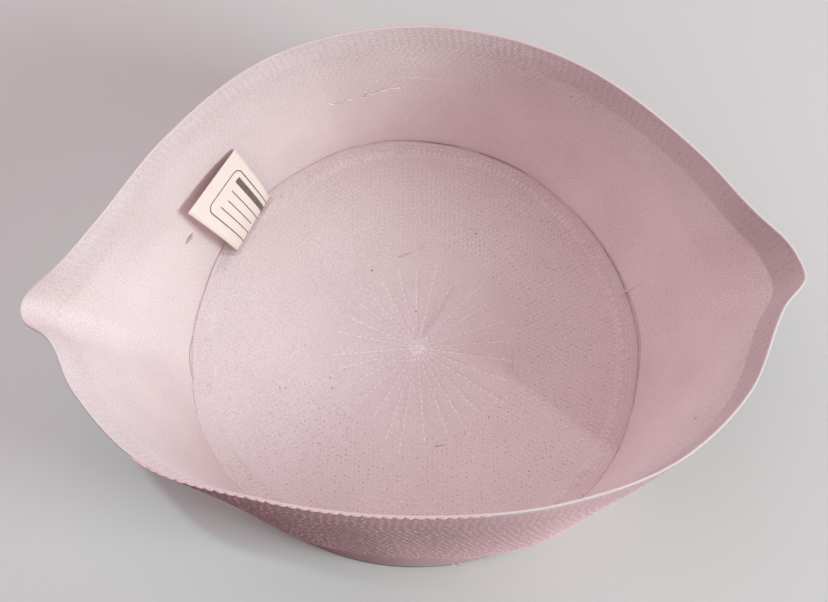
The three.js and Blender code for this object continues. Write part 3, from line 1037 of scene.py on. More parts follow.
def band_tints(graph, place, down, inside, right, back):
    """Masks and colours painted on the band: a rosier outer face that offsets the cool light on the front,
    painted shade on the hem at the right, and a painted highlight on the rim.
    """
    # Rosier tint on the outer face, painted to offset the cool light on the front, fading towards the back.
    outside = graph.product(
        graph.math("SUBTRACT", 1.0, inside),
        graph.ramp(graph.noise(place, OUTSIDE_SPECKS), *OUTSIDE_SPECKLE),
        graph.ramp(down, *OUTSIDE_DOWN),
        graph.ramp(back, *OUTSIDE_BACK))
    hem_mm = sizes().hem_depth * PER_METRE
    # Painted shade on the hem strip inside, growing towards the right.
    hem = graph.product(
        inside,
        graph.ramp(down, hem_mm - HEM_SHADE_BLUR, hem_mm + HEM_SHADE_BLUR, 1.0, 0.0),
        graph.math("ADD", graph.ramp(right, *HEM_SHADE_RIGHT), graph.ramp(right, *HEM_SHADE_FAR_RIGHT)),
        graph.ramp(graph.noise(place, HEM_SHADE_SPECKS), *HEM_SHADE_SPECKLE))
    # Painted highlight along the top of the rim, at the back and the right.
    rim = graph.product(graph.ramp(down, *RIM_HIGHLIGHT_DOWN), graph.ramp(right, *RIM_HIGHLIGHT_RIGHT))
    return (outside, colours().outside), (hem, colours().hem), (rim, colours().rim)


def band_material(wall):
    """Cotton of the band, with stitched rows that fade down from the rim."""
    rows = stitching()
    material, graph, shader = new_material("Band Cotton", COTTON)
    uv = graph.axes(graph.add("UVMap", uv_map="cloth").outputs[0])
    inside = graph.add("Attribute", attribute_name="inside").outputs["Fac"]
    down = graph.product(uv[1], sizes().slant * PER_METRE)
    round_mm = graph.product(uv[0], wall.girth * PER_METRE)
    place = graph.point(round_mm, down, graph.product(inside, FACES_APART))
    stitched = graph.group(rows_group(), {
        "Across": down,
        "Turn": uv[0],
        "First": rows.band_first * PER_METRE,
        "Pitch": rows.band_pitch * PER_METRE,
        "Rows": float(rows.band_rows),
        "Stitches": float(rows.band_count),
        "Added": 0.0,
        "Drift": rows.band_drift,
        "Return": rows.band_return,
        "Turned": float(rows.band_turn),
        "Stitch": BAND_STITCH,
        "Hole": BAND_HOLE,
    })
    axes = graph.axes(object_place(graph))
    right, back = axes[0], axes[1]
    # The holes' painted shade fades down from the rim and shows less at the left.
    shown = graph.product(graph.ramp(down, *ROWS_DOWN), graph.ramp(right, *ROWS_RIGHT))
    holes = graph.product(stitched["Holes"], shown)
    puff = graph.product(stitched["Puff"], shown, BAND_PUFF)
    tints = band_tints(graph, place, down, inside, right, back)
    cloth_finish(graph, shader, place, (colours().cloth, colours().cloth_deep), holes, puff, tints)
    graph.set(shader.inputs["Sheen Weight"], graph.product(inside, COTTON.sheen))
    return material


# Painted light and shade on a thread, which changes to another colour along an axis: the axis, from and to in
# millimetres, the share of the colour at the end, and the colour.
PaintedLight = namedtuple("PaintedLight", "axis start end share colour")
FIBRE_TONE = Fade(0.5, 0.95, 0.0, 1.0)


def spun_material(name, colour, painted_light=None):
    """Cotton thread of a colour, with fibres that show the cloth's own tone, and with painted light and shade
    along one axis when one is given, else even.
    """
    if name in bpy.data.materials:
        return bpy.data.materials[name]
    material, graph, shader = new_material(name, THREAD)
    place = object_place(graph)
    fibre = graph.noise(place, THREAD_FIBRE)
    tone = graph.mix(graph.ramp(fibre, *FIBRE_TONE), rgba(colour), rgba(colours().cloth))
    if painted_light:
        way = graph.axes(place)[painted_light.axis]
        tone = graph.mix(graph.ramp(way, painted_light.start, painted_light.end, 0.0, painted_light.share), tone, rgba(painted_light.colour))
    graph.set(shader.inputs["Base Color"], tone)
    add_bump(graph, shader, fibre, THREAD)
    return material


FRONT_LEFT = (-0.8, -0.6, 0.0)
# Painted light: the ring thread is toned down to the crown's colour towards the front on the left.
RING_PAINTED_LIGHT = Fade(-35.0, 25.0, 0.0, 1.0)


def ring_thread_material():
    """Thread of the crown's rings, with painted light: paler than the crown at the back and the right, where
    the crown lies in shade, and toned down to the crown's colour towards the front on the left.
    """
    if "Ring Thread" in bpy.data.materials:
        return bpy.data.materials["Ring Thread"]
    material, graph, shader = new_material("Ring Thread", THREAD)
    painted_light = graph.ramp(graph.along(object_place(graph), FRONT_LEFT), *RING_PAINTED_LIGHT)
    bright, plain = rgba(colours().ring_thread), rgba(colours().crown)
    graph.set(shader.inputs["Base Color"], graph.mix(painted_light, bright, plain))
    return material


def thread_material():
    """Thread of the rows inside, with painted shade that darkens it towards the right."""
    painted_light = PaintedLight(axis=0, start=45.0, end=90.0, share=0.5, colour=colours().hem)
    return spun_material("Sewing Thread", colours().thread, painted_light)


def outside_thread_material():
    """Thread of the rows outside, in the outer face's rosier painted tint that offsets the cool light on the
    front, paler towards the back.
    """
    painted_light = PaintedLight(axis=1, start=-30.0, end=5.0, share=0.7, colour=colours().cloth)
    return spun_material("Outside Thread", colours().outside_thread, painted_light)


def bright_thread_material():
    return spun_material("Bright Thread", colours().bright_thread)


def loose_thread_material():
    return spun_material("Loose Thread", colours().ring_thread)


EDGE_SPECKLE = Fade(0.62, 0.72, 0.0, 0.5)


def edge_material():
    """Cotton of the overcast edge, with a few darker specks."""
    material, graph, shader = new_material("Overcast Edge Cotton", EDGE_COTTON)
    place = object_place(graph)
    height, colour = cotton(graph, place, colours().crown, colours().crown_deep)
    specks = graph.ramp(graph.noise(place, EDGE_SPECKS), *EDGE_SPECKLE)
    graph.set(shader.inputs["Base Color"], graph.mix(specks, colour, rgba(colours().pinhole)))
    add_bump(graph, shader, height, EDGE_COTTON)
    return material


# Plain bars along the label tape: middle, half width, start and end, in millimetres from its back edge and
# from the seam.
Bar = namedtuple("Bar", "middle half start end")
BARS = (Bar(5.2, 1.0, 0, 21), Bar(8.6, 0.16, 0, 20), Bar(11.4, 0.16, 3, 19), Bar(14.2, 0.16, 0, 20))
BAR_CORE = 0.8
BAR_BLUR = 0.05
BAR_END = 0.2
TAPE_WIDTH = 21.0
TAPE_LENGTH = 60.0
FRAME_MIDDLE = (10.0, 10.5)
FRAME_HALF = (7.2, 13.0)
FRAME_ROUND = 2.4
FRAME_LINE = Fade(0.12, 0.26, 1.0, 0.0)
TAPE_RIBS = 900.0
TAPE_CROSS = 420.0
RIB_SHARE = 0.5
TAPE_TONE = Fade(0.3, 0.9, 0.0, 1.0)
INK_WORN = Fade(0.75, 0.35, 0.75, 1.0)


def round_frame(graph, across, along):
    """Thin line of a frame with round corners on the tape."""
    past_x = graph.math("SUBTRACT", graph.apart(across, FRAME_MIDDLE[0]), FRAME_HALF[0] - FRAME_ROUND)
    past_y = graph.math("SUBTRACT", graph.apart(along, FRAME_MIDDLE[1]), FRAME_HALF[1] - FRAME_ROUND)
    corner = graph.point(graph.math("MAXIMUM", past_x, 0.0), graph.math("MAXIMUM", past_y, 0.0))
    within = graph.math("MINIMUM", graph.math("MAXIMUM", past_x, past_y), 0.0)
    away = graph.math("ADD", graph.length(corner), within)
    return graph.ramp(graph.apart(away, FRAME_ROUND), *FRAME_LINE)


def bar_mask(graph, across, along, bar):
    """One bar on the tape, with soft sides and ends."""
    line = graph.ramp(graph.apart(across, bar.middle), BAR_CORE * bar.half, bar.half + BAR_BLUR, 1.0, 0.0)
    half = (bar.end - bar.start) / 2
    run = graph.ramp(graph.apart(along, (bar.start + bar.end) / 2), half - BAR_END, half, 1.0, 0.0)
    return graph.product(line, run)


def tape_material():
    """Ribbed cream tape with a plain printed frame and bars."""
    material, graph, shader = new_material("Label Tape", TAPE)
    uv = graph.axes(graph.add("UVMap", uv_map="tape").outputs[0])
    fibre = graph.noise(object_place(graph), TAPE_FIBRE)
    tint = graph.mix(graph.ramp(fibre, *TAPE_TONE), rgba(colours().tape), rgba(colours().tape_deep))
    across = graph.product(uv[0], TAPE_WIDTH)
    along = graph.product(uv[1], TAPE_LENGTH)
    printed = round_frame(graph, across, along)
    for bar in BARS:
        printed = graph.math("MAXIMUM", printed, bar_mask(graph, across, along, bar))
    ink = graph.product(printed, graph.ramp(fibre, *INK_WORN))
    graph.set(shader.inputs["Base Color"], graph.mix(ink, tint, rgba(colours().print_ink)))
    ribs = graph.math("SINE", graph.product(uv[1], TAPE_RIBS))
    cross = graph.math("SINE", graph.product(uv[0], TAPE_CROSS))
    add_bump(graph, shader, graph.math("ADD", graph.product(ribs, RIB_SHARE), cross), TAPE)
    return material


LINT_TONE = Fade(0.3, 0.8, 0.0, 1.0)
LINT_WARM = 1.3
FLOOR_SOFT = 0.96


def fleck_material(name, colour):
    """Lint of a colour, lighter in places."""
    material, graph, shader = new_material(name, LINT)
    shade = graph.ramp(graph.noise(object_place(graph), LINT_SHADE), *LINT_TONE)
    graph.set(shader.inputs["Base Color"], graph.mix(shade, rgba(colour), rgba(colour, LINT_WARM)))
    return material


def floor_material():
    """Pale floor that gives back less light than it shows."""
    material, graph, shader = new_material("Studio Floor", FLOOR)
    tone = graph.noise(object_place(graph), FLOOR_TONE)
    shown = graph.mix(tone, rgba(colours().floor), rgba(colours().floor, FLOOR_SOFT))
    seen = graph.add("LightPath").outputs["Is Camera Ray"]
    graph.set(shader.inputs["Base Color"], graph.mix(seen, rgba(colours().floor_bounce), shown))
    return material


class CAP_OT_stage(bpy.types.Operator):
    """Make the floor, the lights and the camera"""

    bl_idname = "cap.stage"
    bl_label = "Studio Stage"

    EYE = (-0.264 * MM, -192.306 * MM, 490.17 * MM)
    TILT = math.radians(90 - 67.24)
    FLOOR_HALF = 1.6
    DOME_LOW = 0.2
    DOME_HIGH = 0.5
    DIM_SIDE = (-0.85, -0.53, 0.0)
    DIM_NEAR = 0.45
    DIM_FULL = 0.95
    DIM_RISE = 0.28

    def execute(self, context):
        self.floor(context)
        self.lights(context)
        self.sky(context)
        self.camera(context)
        context.scene.view_settings.view_transform = "Standard"
        return {"FINISHED"}

    def floor(self, context):
        bm = bmesh.new()
        bmesh.ops.create_grid(bm, x_segments=8, y_segments=8, size=self.FLOOR_HALF)
        mesh = mesh_from(bm, "floor")
        mesh.materials.append(floor_material())
        floor = bpy.data.objects.new("floor", mesh)
        context.scene.collection.objects.link(floor)

    def lights(self, context):
        studio = context.scene.cap_studio
        self.area(context, "key_light", KEY_LAMP, studio.key_power, studio.key_tint)
        self.area(context, "fill_light", FILL_LAMP, studio.fill_power, studio.fill_tint)
        self.spot(context, "side_light", SIDE_LAMP, SIDE_CONE, studio.side_power, studio.side_tint)
        self.spot(context, "wall_light", WALL_LAMP, WALL_CONE, studio.wall_power, studio.fill_tint)
        self.spot(context, "top_light", TOP_LAMP, TOP_CONE, studio.top_power, studio.top_tint)
        self.spot(context, "front_light", FRONT_LAMP, FRONT_CONE, studio.front_power, studio.front_tint)

    def sky(self, context):
        """Light from above, dimmed low on the front left, with a pale backdrop for the camera."""
        studio = context.scene.cap_studio
        world = bpy.data.worlds.new("studio_sky")
        world.use_nodes = True
        graph = Graph(world.node_tree)
        toward = graph.add("TexCoord").outputs["Generated"]
        left = graph.along(toward, self.DIM_SIDE)
        dimmed = graph.ramp(left, self.DIM_NEAR, self.DIM_FULL, 0.0, self.DIM_RISE)
        height = graph.math("SUBTRACT", graph.axes(toward)[2], dimmed)
        dome = graph.ramp(height, self.DOME_LOW, self.DOME_HIGH, 0.0, studio.sky)
        tint = graph.mix(dome, (0.0, 0.0, 0.0, 1.0), rgba(studio.sky_tint))
        seen = graph.add("LightPath").outputs["Is Camera Ray"]
        background = world.node_tree.nodes["Background"]
        graph.set(background.inputs["Color"], graph.mix(seen, tint, rgba(studio.backdrop)))
        context.scene.world = world

    def area(self, context, name, lamp, power, tint):
        light = bpy.data.lights.new(name, "AREA")
        light.size = lamp.size
        self.hang(context, light, lamp, power, tint)

    def spot(self, context, name, lamp, cone, power, tint):
        light = bpy.data.lights.new(name, "SPOT")
        light.shadow_soft_size = lamp.size / 2
        light.spot_size = cone
        light.spot_blend = 1.0
        self.hang(context, light, lamp, power, tint)

    def hang(self, context, light, lamp, power, tint):
        """Hang a light so that it faces the place that it is turned to."""
        light.energy = power
        light.color = tint
        holder = bpy.data.objects.new(light.name, light)
        rise = math.radians(lamp.rise)
        from_aim = polar(lamp.turn, LAMP_FAR * math.cos(rise), LAMP_FAR * math.sin(rise))
        holder.location = from_aim + np.array(lamp.aim)
        holder.rotation_euler = (math.pi / 2 - rise, 0, math.radians(lamp.turn) + math.pi / 2)
        context.scene.collection.objects.link(holder)

    def camera(self, context):
        data = bpy.data.cameras.new("camera")
        data.sensor_fit = "HORIZONTAL"
        data.sensor_width = SENSOR_MM
        data.lens = SENSOR_MM * FOCAL_PIXELS / PICTURE_WIDTH
        camera = bpy.data.objects.new("camera", data)
        camera.location = self.EYE
        camera.rotation_euler = (self.TILT, 0, 0)
        context.scene.collection.objects.link(camera)
        context.scene.camera = camera


class CAP_OT_crown(bpy.types.Operator):
    """Make the round crown with its rosette and rings"""

    bl_idname = "cap.crown"
    bl_label = "Crown"

    STEPS = 360
    EDGE_ROUND = 0.5 * MM
    ROSETTE_STEP = 0.7 * MM
    RING_CUTS = 4
    EDGE_STEP = 1.0 * MM
    OUTER_STEP = 1.1 * MM

    def execute(self, context):
        size = sizes()
        rows = stitching()
        relief = CrownRelief()
        low = size.crown_lift
        high = low + size.crown_cloth
        middle = (low + high) / 2
        edge = size.crown_radius - self.EDGE_ROUND
        profile = (
            Turn(0, high, self.ROSETTE_STEP),
            Turn(rows.ring_first - rows.ring_pitch, high, rows.ring_pitch / self.RING_CUTS),
            Turn(edge, high, self.EDGE_STEP),
            Turn(size.crown_radius, high - self.EDGE_ROUND, self.EDGE_STEP),
            Turn(size.crown_radius, low + self.EDGE_ROUND, self.EDGE_STEP),
            Turn(edge, low, self.OUTER_STEP),
            Turn(0, low, self.OUTER_STEP),
        )
        bm = turned(profile, self.STEPS)
        points = vertex_points(bm)
        radius, deg = polar_of(points)
        points[:, 2] += np.where(
            points[:, 2] > middle, relief.inside(radius, deg), -relief.outside(radius, deg))
        move_vertices(bm, points)
        add_piece("crown_cloth", mesh_from(bm, "crown_cloth"), crown_material(), "crown")
        return {"FINISHED"}


class CAP_OT_side_band(bpy.types.Operator):
    """Make the flared side band with its turned hem"""

    bl_idname = "cap.side_band"
    bl_label = "Side Band"

    STEPS = 520
    RIM_ROUND = 0.3 * MM
    STITCHED = 30 * MM
    ROW_STEP = 0.525 * MM
    PLAIN_STEP = 2.0 * MM
    END_STEP = 1.0 * MM
    FLOOR_GAP = 0.05 * MM

    def section(self):
        """The band's section before it is bent: its reach, and its height as the distance along the cloth."""
        size = sizes()
        inner = size.foot_radius - size.band_cloth / 2
        outer = size.foot_radius + size.band_cloth / 2
        lip = size.slant - self.RIM_ROUND
        plain = size.slant - self.STITCHED
        return (
            Turn(outer, 0, self.PLAIN_STEP),
            Turn(outer, plain, self.ROW_STEP),
            Turn(outer, lip, self.END_STEP),
            Turn(size.foot_radius, size.slant, self.END_STEP),
            Turn(inner, lip, self.ROW_STEP),
            Turn(inner, plain, self.PLAIN_STEP),
            Turn(inner, 0, self.END_STEP),
        )

    def execute(self, context):
        size = sizes()
        wall = Wall()
        relief = BandRelief(wall)
        section = self.section()
        bm = turned(section + section[:1], self.STEPS)
        straight = vertex_points(bm)
        reach, deg = polar_of(straight)
        along = straight[:, 2]
        side = np.sign(np.round((reach - size.foot_radius) / size.band_cloth, 2))
        points = wall.points(deg, along, relief.out(deg, along, relief.face(along, side)))
        points[:, 2] = np.maximum(points[:, 2], self.FLOOR_GAP)
        move_vertices(bm, points)
        mesh = mesh_from(bm, "side_band_cloth")
        wrap_uv(mesh, "cloth", wall.turn_at(deg), 1 - along / size.slant)
        inside = mesh.attributes.new("inside", "FLOAT", "POINT")
        inside.data.foreach_set("value", (side < 0).astype(np.float32))
        add_piece("side_band_cloth", mesh, band_material(wall), "side_band")
        return {"FINISHED"}


EDGE_LEAD = 0.2 * MM
EDGE_SLOPE = 2.4 * MM
EDGE_DROP = 0.6 * MM


def edge_height(ring):
    """Upper side of the overcast edge, which slopes down inwards."""
    size = sizes()
    slope = 1 - smooth_step(size.edge_inner - EDGE_LEAD, size.edge_inner + EDGE_SLOPE, ring)
    return size.edge_top - EDGE_DROP * slope


def edge_points(deg, ring, lift):
    """Points over the overcast edge, which follows the seam where it strays from its circle."""
    return polar(deg, ring + seam_shift(deg), edge_height(ring) + lift)


class CAP_OT_seam_allowance(bpy.types.Operator):
    """Make the overcast edge that lies inside the crown seam"""

    bl_idname = "cap.seam_allowance"
    bl_label = "Seam Allowance"

    STEPS = 480
    WAVER = 0.16 * MM
    WAVES = (Wave(11, 0, 1.0), Wave(29, 1, 0.8), Wave(67, 2, 0.6))
    UPRIGHT_WAVER = 0.4
    BASE = 1.75 * MM
    ABOVE_BASE = 0.1 * MM
    STILL = 65.0 * MM
    SHOULDER = 0.3 * MM
    SHOULDER_WIDTH = 0.5 * MM
    OPEN_GAP = 0.08 * MM
    LEAST_DROP = 0.35
    FLAT_STEP = 0.6 * MM
    OUTER_STEP = 0.18 * MM
    INNER_STEP = 0.45 * MM

    # Gap between the edge and the wall: angle in degrees, and its width in millimetres.
    Gap = namedtuple("Gap", "deg width")
    GAPS = (
        Gap(0, 0.06), Gap(20, 0.04), Gap(45, 0.04), Gap(58, 0.12), Gap(66, 0.2), Gap(84, 0.3), Gap(90, 0.13),
        Gap(97, 0.04), Gap(104, 0.02), Gap(190, 0.02), Gap(230, 0.04), Gap(300, 0.05), Gap(335, 0.08),
    )
    FLUTTER = (Wave(31, 0, 0.35), Wave(13, 2, 1.0), Wave(83, 1, 0.25))

    def gap(self, deg):
        """Gap between the edge and the wall, never quite even."""
        broad, beat, fine = (waves_round([wave], np.radians(deg)) for wave in self.FLUTTER)
        flutter = 1 + broad * beat + fine
        places = [gap.deg for gap in self.GAPS]
        return np.interp(deg, places, [gap.width for gap in self.GAPS], period=360) * MM * flutter

    def execute(self, context):
        size = sizes()
        wall = Wall()
        profile = (
            Turn(size.edge_inner, self.BASE, self.FLAT_STEP),
            Turn(size.edge_outer, self.BASE, self.FLAT_STEP),
            Turn(size.edge_outer, size.edge_top, self.OUTER_STEP),
            Turn(self.STILL, size.edge_top, self.INNER_STEP),
            Turn(size.edge_inner, size.edge_top, self.FLAT_STEP),
        )
        bm = turned(profile + profile[:1], self.STEPS)
        points = vertex_points(bm)
        ring, deg = polar_of(points)
        border = wall.inner_reach(deg, points[:, 2]) - seam_shift(deg) - self.gap(deg)
        past = np.maximum(0, (ring - self.STILL) / (size.edge_outer - self.STILL))
        ring = np.minimum(ring, self.STILL) + past * (border - self.STILL)
        waver = self.WAVER * waves_round(self.WAVES, np.radians(deg))
        upper = points[:, 2] > self.BASE + self.ABOVE_BASE
        drop = self.SHOULDER * np.clip(self.gap(deg) / self.OPEN_GAP, self.LEAST_DROP, 1)
        shoulder = drop * (1 - smooth_step(0, self.SHOULDER_WIDTH, border - ring))
        top = edge_height(ring) + self.UPRIGHT_WAVER * waver * (1 - past) - shoulder
        share = (points[:, 2] - self.BASE) / (size.edge_top - self.BASE)
        height = np.where(upper, self.BASE + share * (top - self.BASE), points[:, 2])
        loose = 1 - smooth_step(size.edge_inner, self.STILL, ring)
        move_vertices(bm, polar(deg, ring + seam_shift(deg) + waver * loose, height))
        mesh = mesh_from(bm, "overcast_edge")
        add_piece("overcast_edge", mesh, edge_material(), "seam_allowance")
        return {"FINISHED"}


BOW_SHAPE = 0.6


def tape_points(across, up):
    """Middle of the label tape, from its sewn edge at zero to its fold at one."""
    def corner(place):
        return polar(place.deg, place.reach * MM, place.height * MM)
    across = np.asarray(across)[..., None]
    up = np.asarray(up)[..., None]
    sewn = corner(SEWN_BACK) * (1 - across) + corner(SEWN_FRONT) * across
    free = corner(FREE_BACK) * (1 - across) + corner(FREE_FRONT) * across
    inward = unit(-sewn * np.array([1.0, 1.0, 0.0]))
    bow = sizes().label_bow * np.sin(np.pi * np.clip(up, 0, 1) ** BOW_SHAPE)
    return sewn * (1 - up) + free * up + inward * bow


class CAP_OT_label(bpy.types.Operator):
    """Make the folded label tape that is caught in the crown seam"""

    bl_idname = "cap.label"
    bl_label = "Label"

    ACROSS = 16
    LENGTHWISE = 56
    FOLD_SHARE = 0.06
    STEP = 0.01

    def execute(self, context):
        size = sizes()
        bm = bmesh.new()
        bm.loops.layers.uv.new("tape")
        bmesh.ops.create_grid(bm, x_segments=self.ACROSS, y_segments=self.LENGTHWISE, size=1, calc_uvs=True)
        flat = vertex_points(bm)
        across = flat[:, 0] / 2 + 0.5
        path = flat[:, 1]
        reach = 1 - np.abs(path)
        up = np.clip(reach / (1 - self.FOLD_SHARE), 0, 1)
        bend = np.clip(path / self.FOLD_SHARE, -1, 1) * math.pi / 2
        points = tape_points(across, up)
        wide = tape_points(across + self.STEP, up) - tape_points(across - self.STEP, up)
        rise = unit(tape_points(across, up + self.STEP) - tape_points(across, up - self.STEP))
        out = unit(np.cross(wide, rise))
        points = points + out * (np.sin(bend) * size.tape_gap / 2)[:, None]
        points = points + rise * (np.cos(bend) * size.tape_gap / 2)[:, None]
        move_vertices(bm, points)
        bmesh.ops.solidify(bm, geom=bm.faces[:], thickness=size.tape_cloth)
        bmesh.ops.recalc_face_normals(bm, faces=bm.faces[:])
        label = add_piece("label_tape", mesh_from(bm, "label_tape"), tape_material(), "label")
        sewn = tape_points(np.array([0.0, 1.0]), 0.0)
        fold = tape_points(np.array([0.0, 1.0]), 1.0)
        return {"FINISHED"}


# Share of the stitches that show in the innermost rings, in order outwards, and then in all others.
RING_SHARES = (0.3, 0.5, 0.7, 0.85, 0.97)
RING_STRAY = 0.14
RING_WANDER = 0.13 * MM


def ring_places(random):
    """Angle and radius of every stitch in the crown's rings, with small irregularities."""
    rows = stitching()
    degs = []
    radii = []
    for row in range(rows.ring_rows):
        count = rows.ring_count + rows.ring_added * row
        turn = (np.arange(count) + rows.ring_drift * row + random.normal(0, RING_STRAY, count)) / count
        radius = rows.ring_first + rows.ring_pitch * row + random.normal(0, RING_WANDER, count)
        kept = random.uniform(0, 1, count) < RING_SHARES[min(row, len(RING_SHARES) - 1)]
        degs.append(turn[kept] * 360)
        radii.append(radius[kept])
    return np.concatenate(degs), np.concatenate(radii)


class CAP_OT_crown_stitches(bpy.types.Operator):
    """Make the crown's rings of stitches and the rays of its rosette, inside and outside"""

    bl_idname = "cap.crown_stitches"
    bl_label = "Crown Stitches"

    RING_STITCH = 0.62 * MM
    RING_WIDTH = 0.40 * MM
    RING_SLANT = 14
    RING_LENGTHS = (0.7, 1.15)
    RING_WIDTHS = (0.75, 1.15)
    RAY_STITCH = 1.75 * MM
    RAY_PERIOD = 1.9 * MM
    RAY_START = 1.0 * MM
    RAY_WIDTH = 0.25 * MM
    RAY_LIFT = 0.04 * MM
    RAY_REACH = 1.05
    RAY_STRAY = 0.08 * MM
    RAY_WANDER = 0.05 * MM
    RAY_SLANT = 4
    RAY_SIZES = (0.8, 1.15)
    KNOT_STITCHES = 18
    KNOT_RADIUS = 2.0 * MM
    KNOT_SPREAD = (0.02, 1)
    KNOT_SLANT = 30

    # Face of the crown: end of a piece's name, side that it looks to, and sides and rings of its stitches.
    Face = namedtuple("Face", "name way sides rings")
    FACES = (Face("inside", 1.0, 6, 4), Face("outside", -1.0, 5, 3))

    def execute(self, context):
        size = sizes()
        relief = CrownRelief()
        for face in self.FACES:
            self.way = face.way
            self.height = relief.inside if face.way > 0 else relief.outside
            self.level = size.crown_lift + (size.crown_cloth if face.way > 0 else 0)
            random = np.random.default_rng(SEED)
            rings = "crown_stitches_" + face.name
            mesh = stitch_mesh(rings, [self.rings(random)], face.sides, face.rings)
            add_piece(rings, mesh, ring_thread_material())
            rays = "rosette_stitches_" + face.name
            mesh = stitch_mesh(rays, [self.rays(random), self.knot(random)])
            add_piece(rays, mesh, bright_thread_material())
        return {"FINISHED"}

    def field(self, deg, radius, heading, length, width, lift=0.0):
        """Stitches lying on one face of the crown, each along its own heading."""
        centre = polar(deg, radius, self.level + self.way * (self.height(radius, deg) + lift))
        run = polar(heading, 1.0, 0.0)
        face = np.tile((0.0, 0.0, self.way), (len(centre), 1))
        return Stitches(centre, run, face, length, width)

    def rings(self, random):
        deg, radius = ring_places(random)
        heading = deg + 90 + random.normal(0, self.RING_SLANT, len(deg))
        length = self.RING_STITCH * random.uniform(*self.RING_LENGTHS, len(deg))
        width = self.RING_WIDTH * random.uniform(*self.RING_WIDTHS, len(deg))
        return self.field(deg, radius, heading, length, width)

    def rosette_field(self, deg, radius, heading, length, width):
        """Stitches placed from the rosette's own middle."""
        reach, angle = polar_of(polar(deg, radius, 0.0) + np.array([ROSETTE_X, ROSETTE_Y, 0.0]))
        return self.field(angle, reach, heading, length, width, self.RAY_LIFT)

    def rays(self, random):
        degs = []
        radii = []
        for ray in RAYS:
            start = self.RAY_START + random.uniform(0, self.RAY_PERIOD)
            radius = np.arange(start, self.RAY_REACH * ray.length * MM, self.RAY_PERIOD)
            degs.append(np.full(len(radius), ray.deg))
            radii.append(radius + random.normal(0, self.RAY_STRAY, len(radius)))
        deg = np.concatenate(degs)
        radius = np.concatenate(radii)
        deg = deg + np.degrees(random.normal(0, self.RAY_WANDER, len(deg)) / radius)
        length = self.RAY_STITCH * random.uniform(*self.RAY_SIZES, len(deg))
        width = self.RAY_WIDTH * random.uniform(*self.RAY_SIZES, len(deg))
        heading = deg + random.normal(0, self.RAY_SLANT, len(deg))
        return self.rosette_field(deg, radius, heading, length, width)

    def knot(self, random):
        """Crossing stitches where the rays meet in the middle."""
        deg = random.uniform(0, 360, self.KNOT_STITCHES)
        radius = self.KNOT_RADIUS * np.sqrt(random.uniform(*self.KNOT_SPREAD, self.KNOT_STITCHES))
        length = np.full(self.KNOT_STITCHES, self.RAY_STITCH)
        width = np.full(self.KNOT_STITCHES, self.RAY_WIDTH)
        heading = deg + random.normal(0, self.KNOT_SLANT, len(deg))
        return self.rosette_field(deg, radius, heading, length, width)


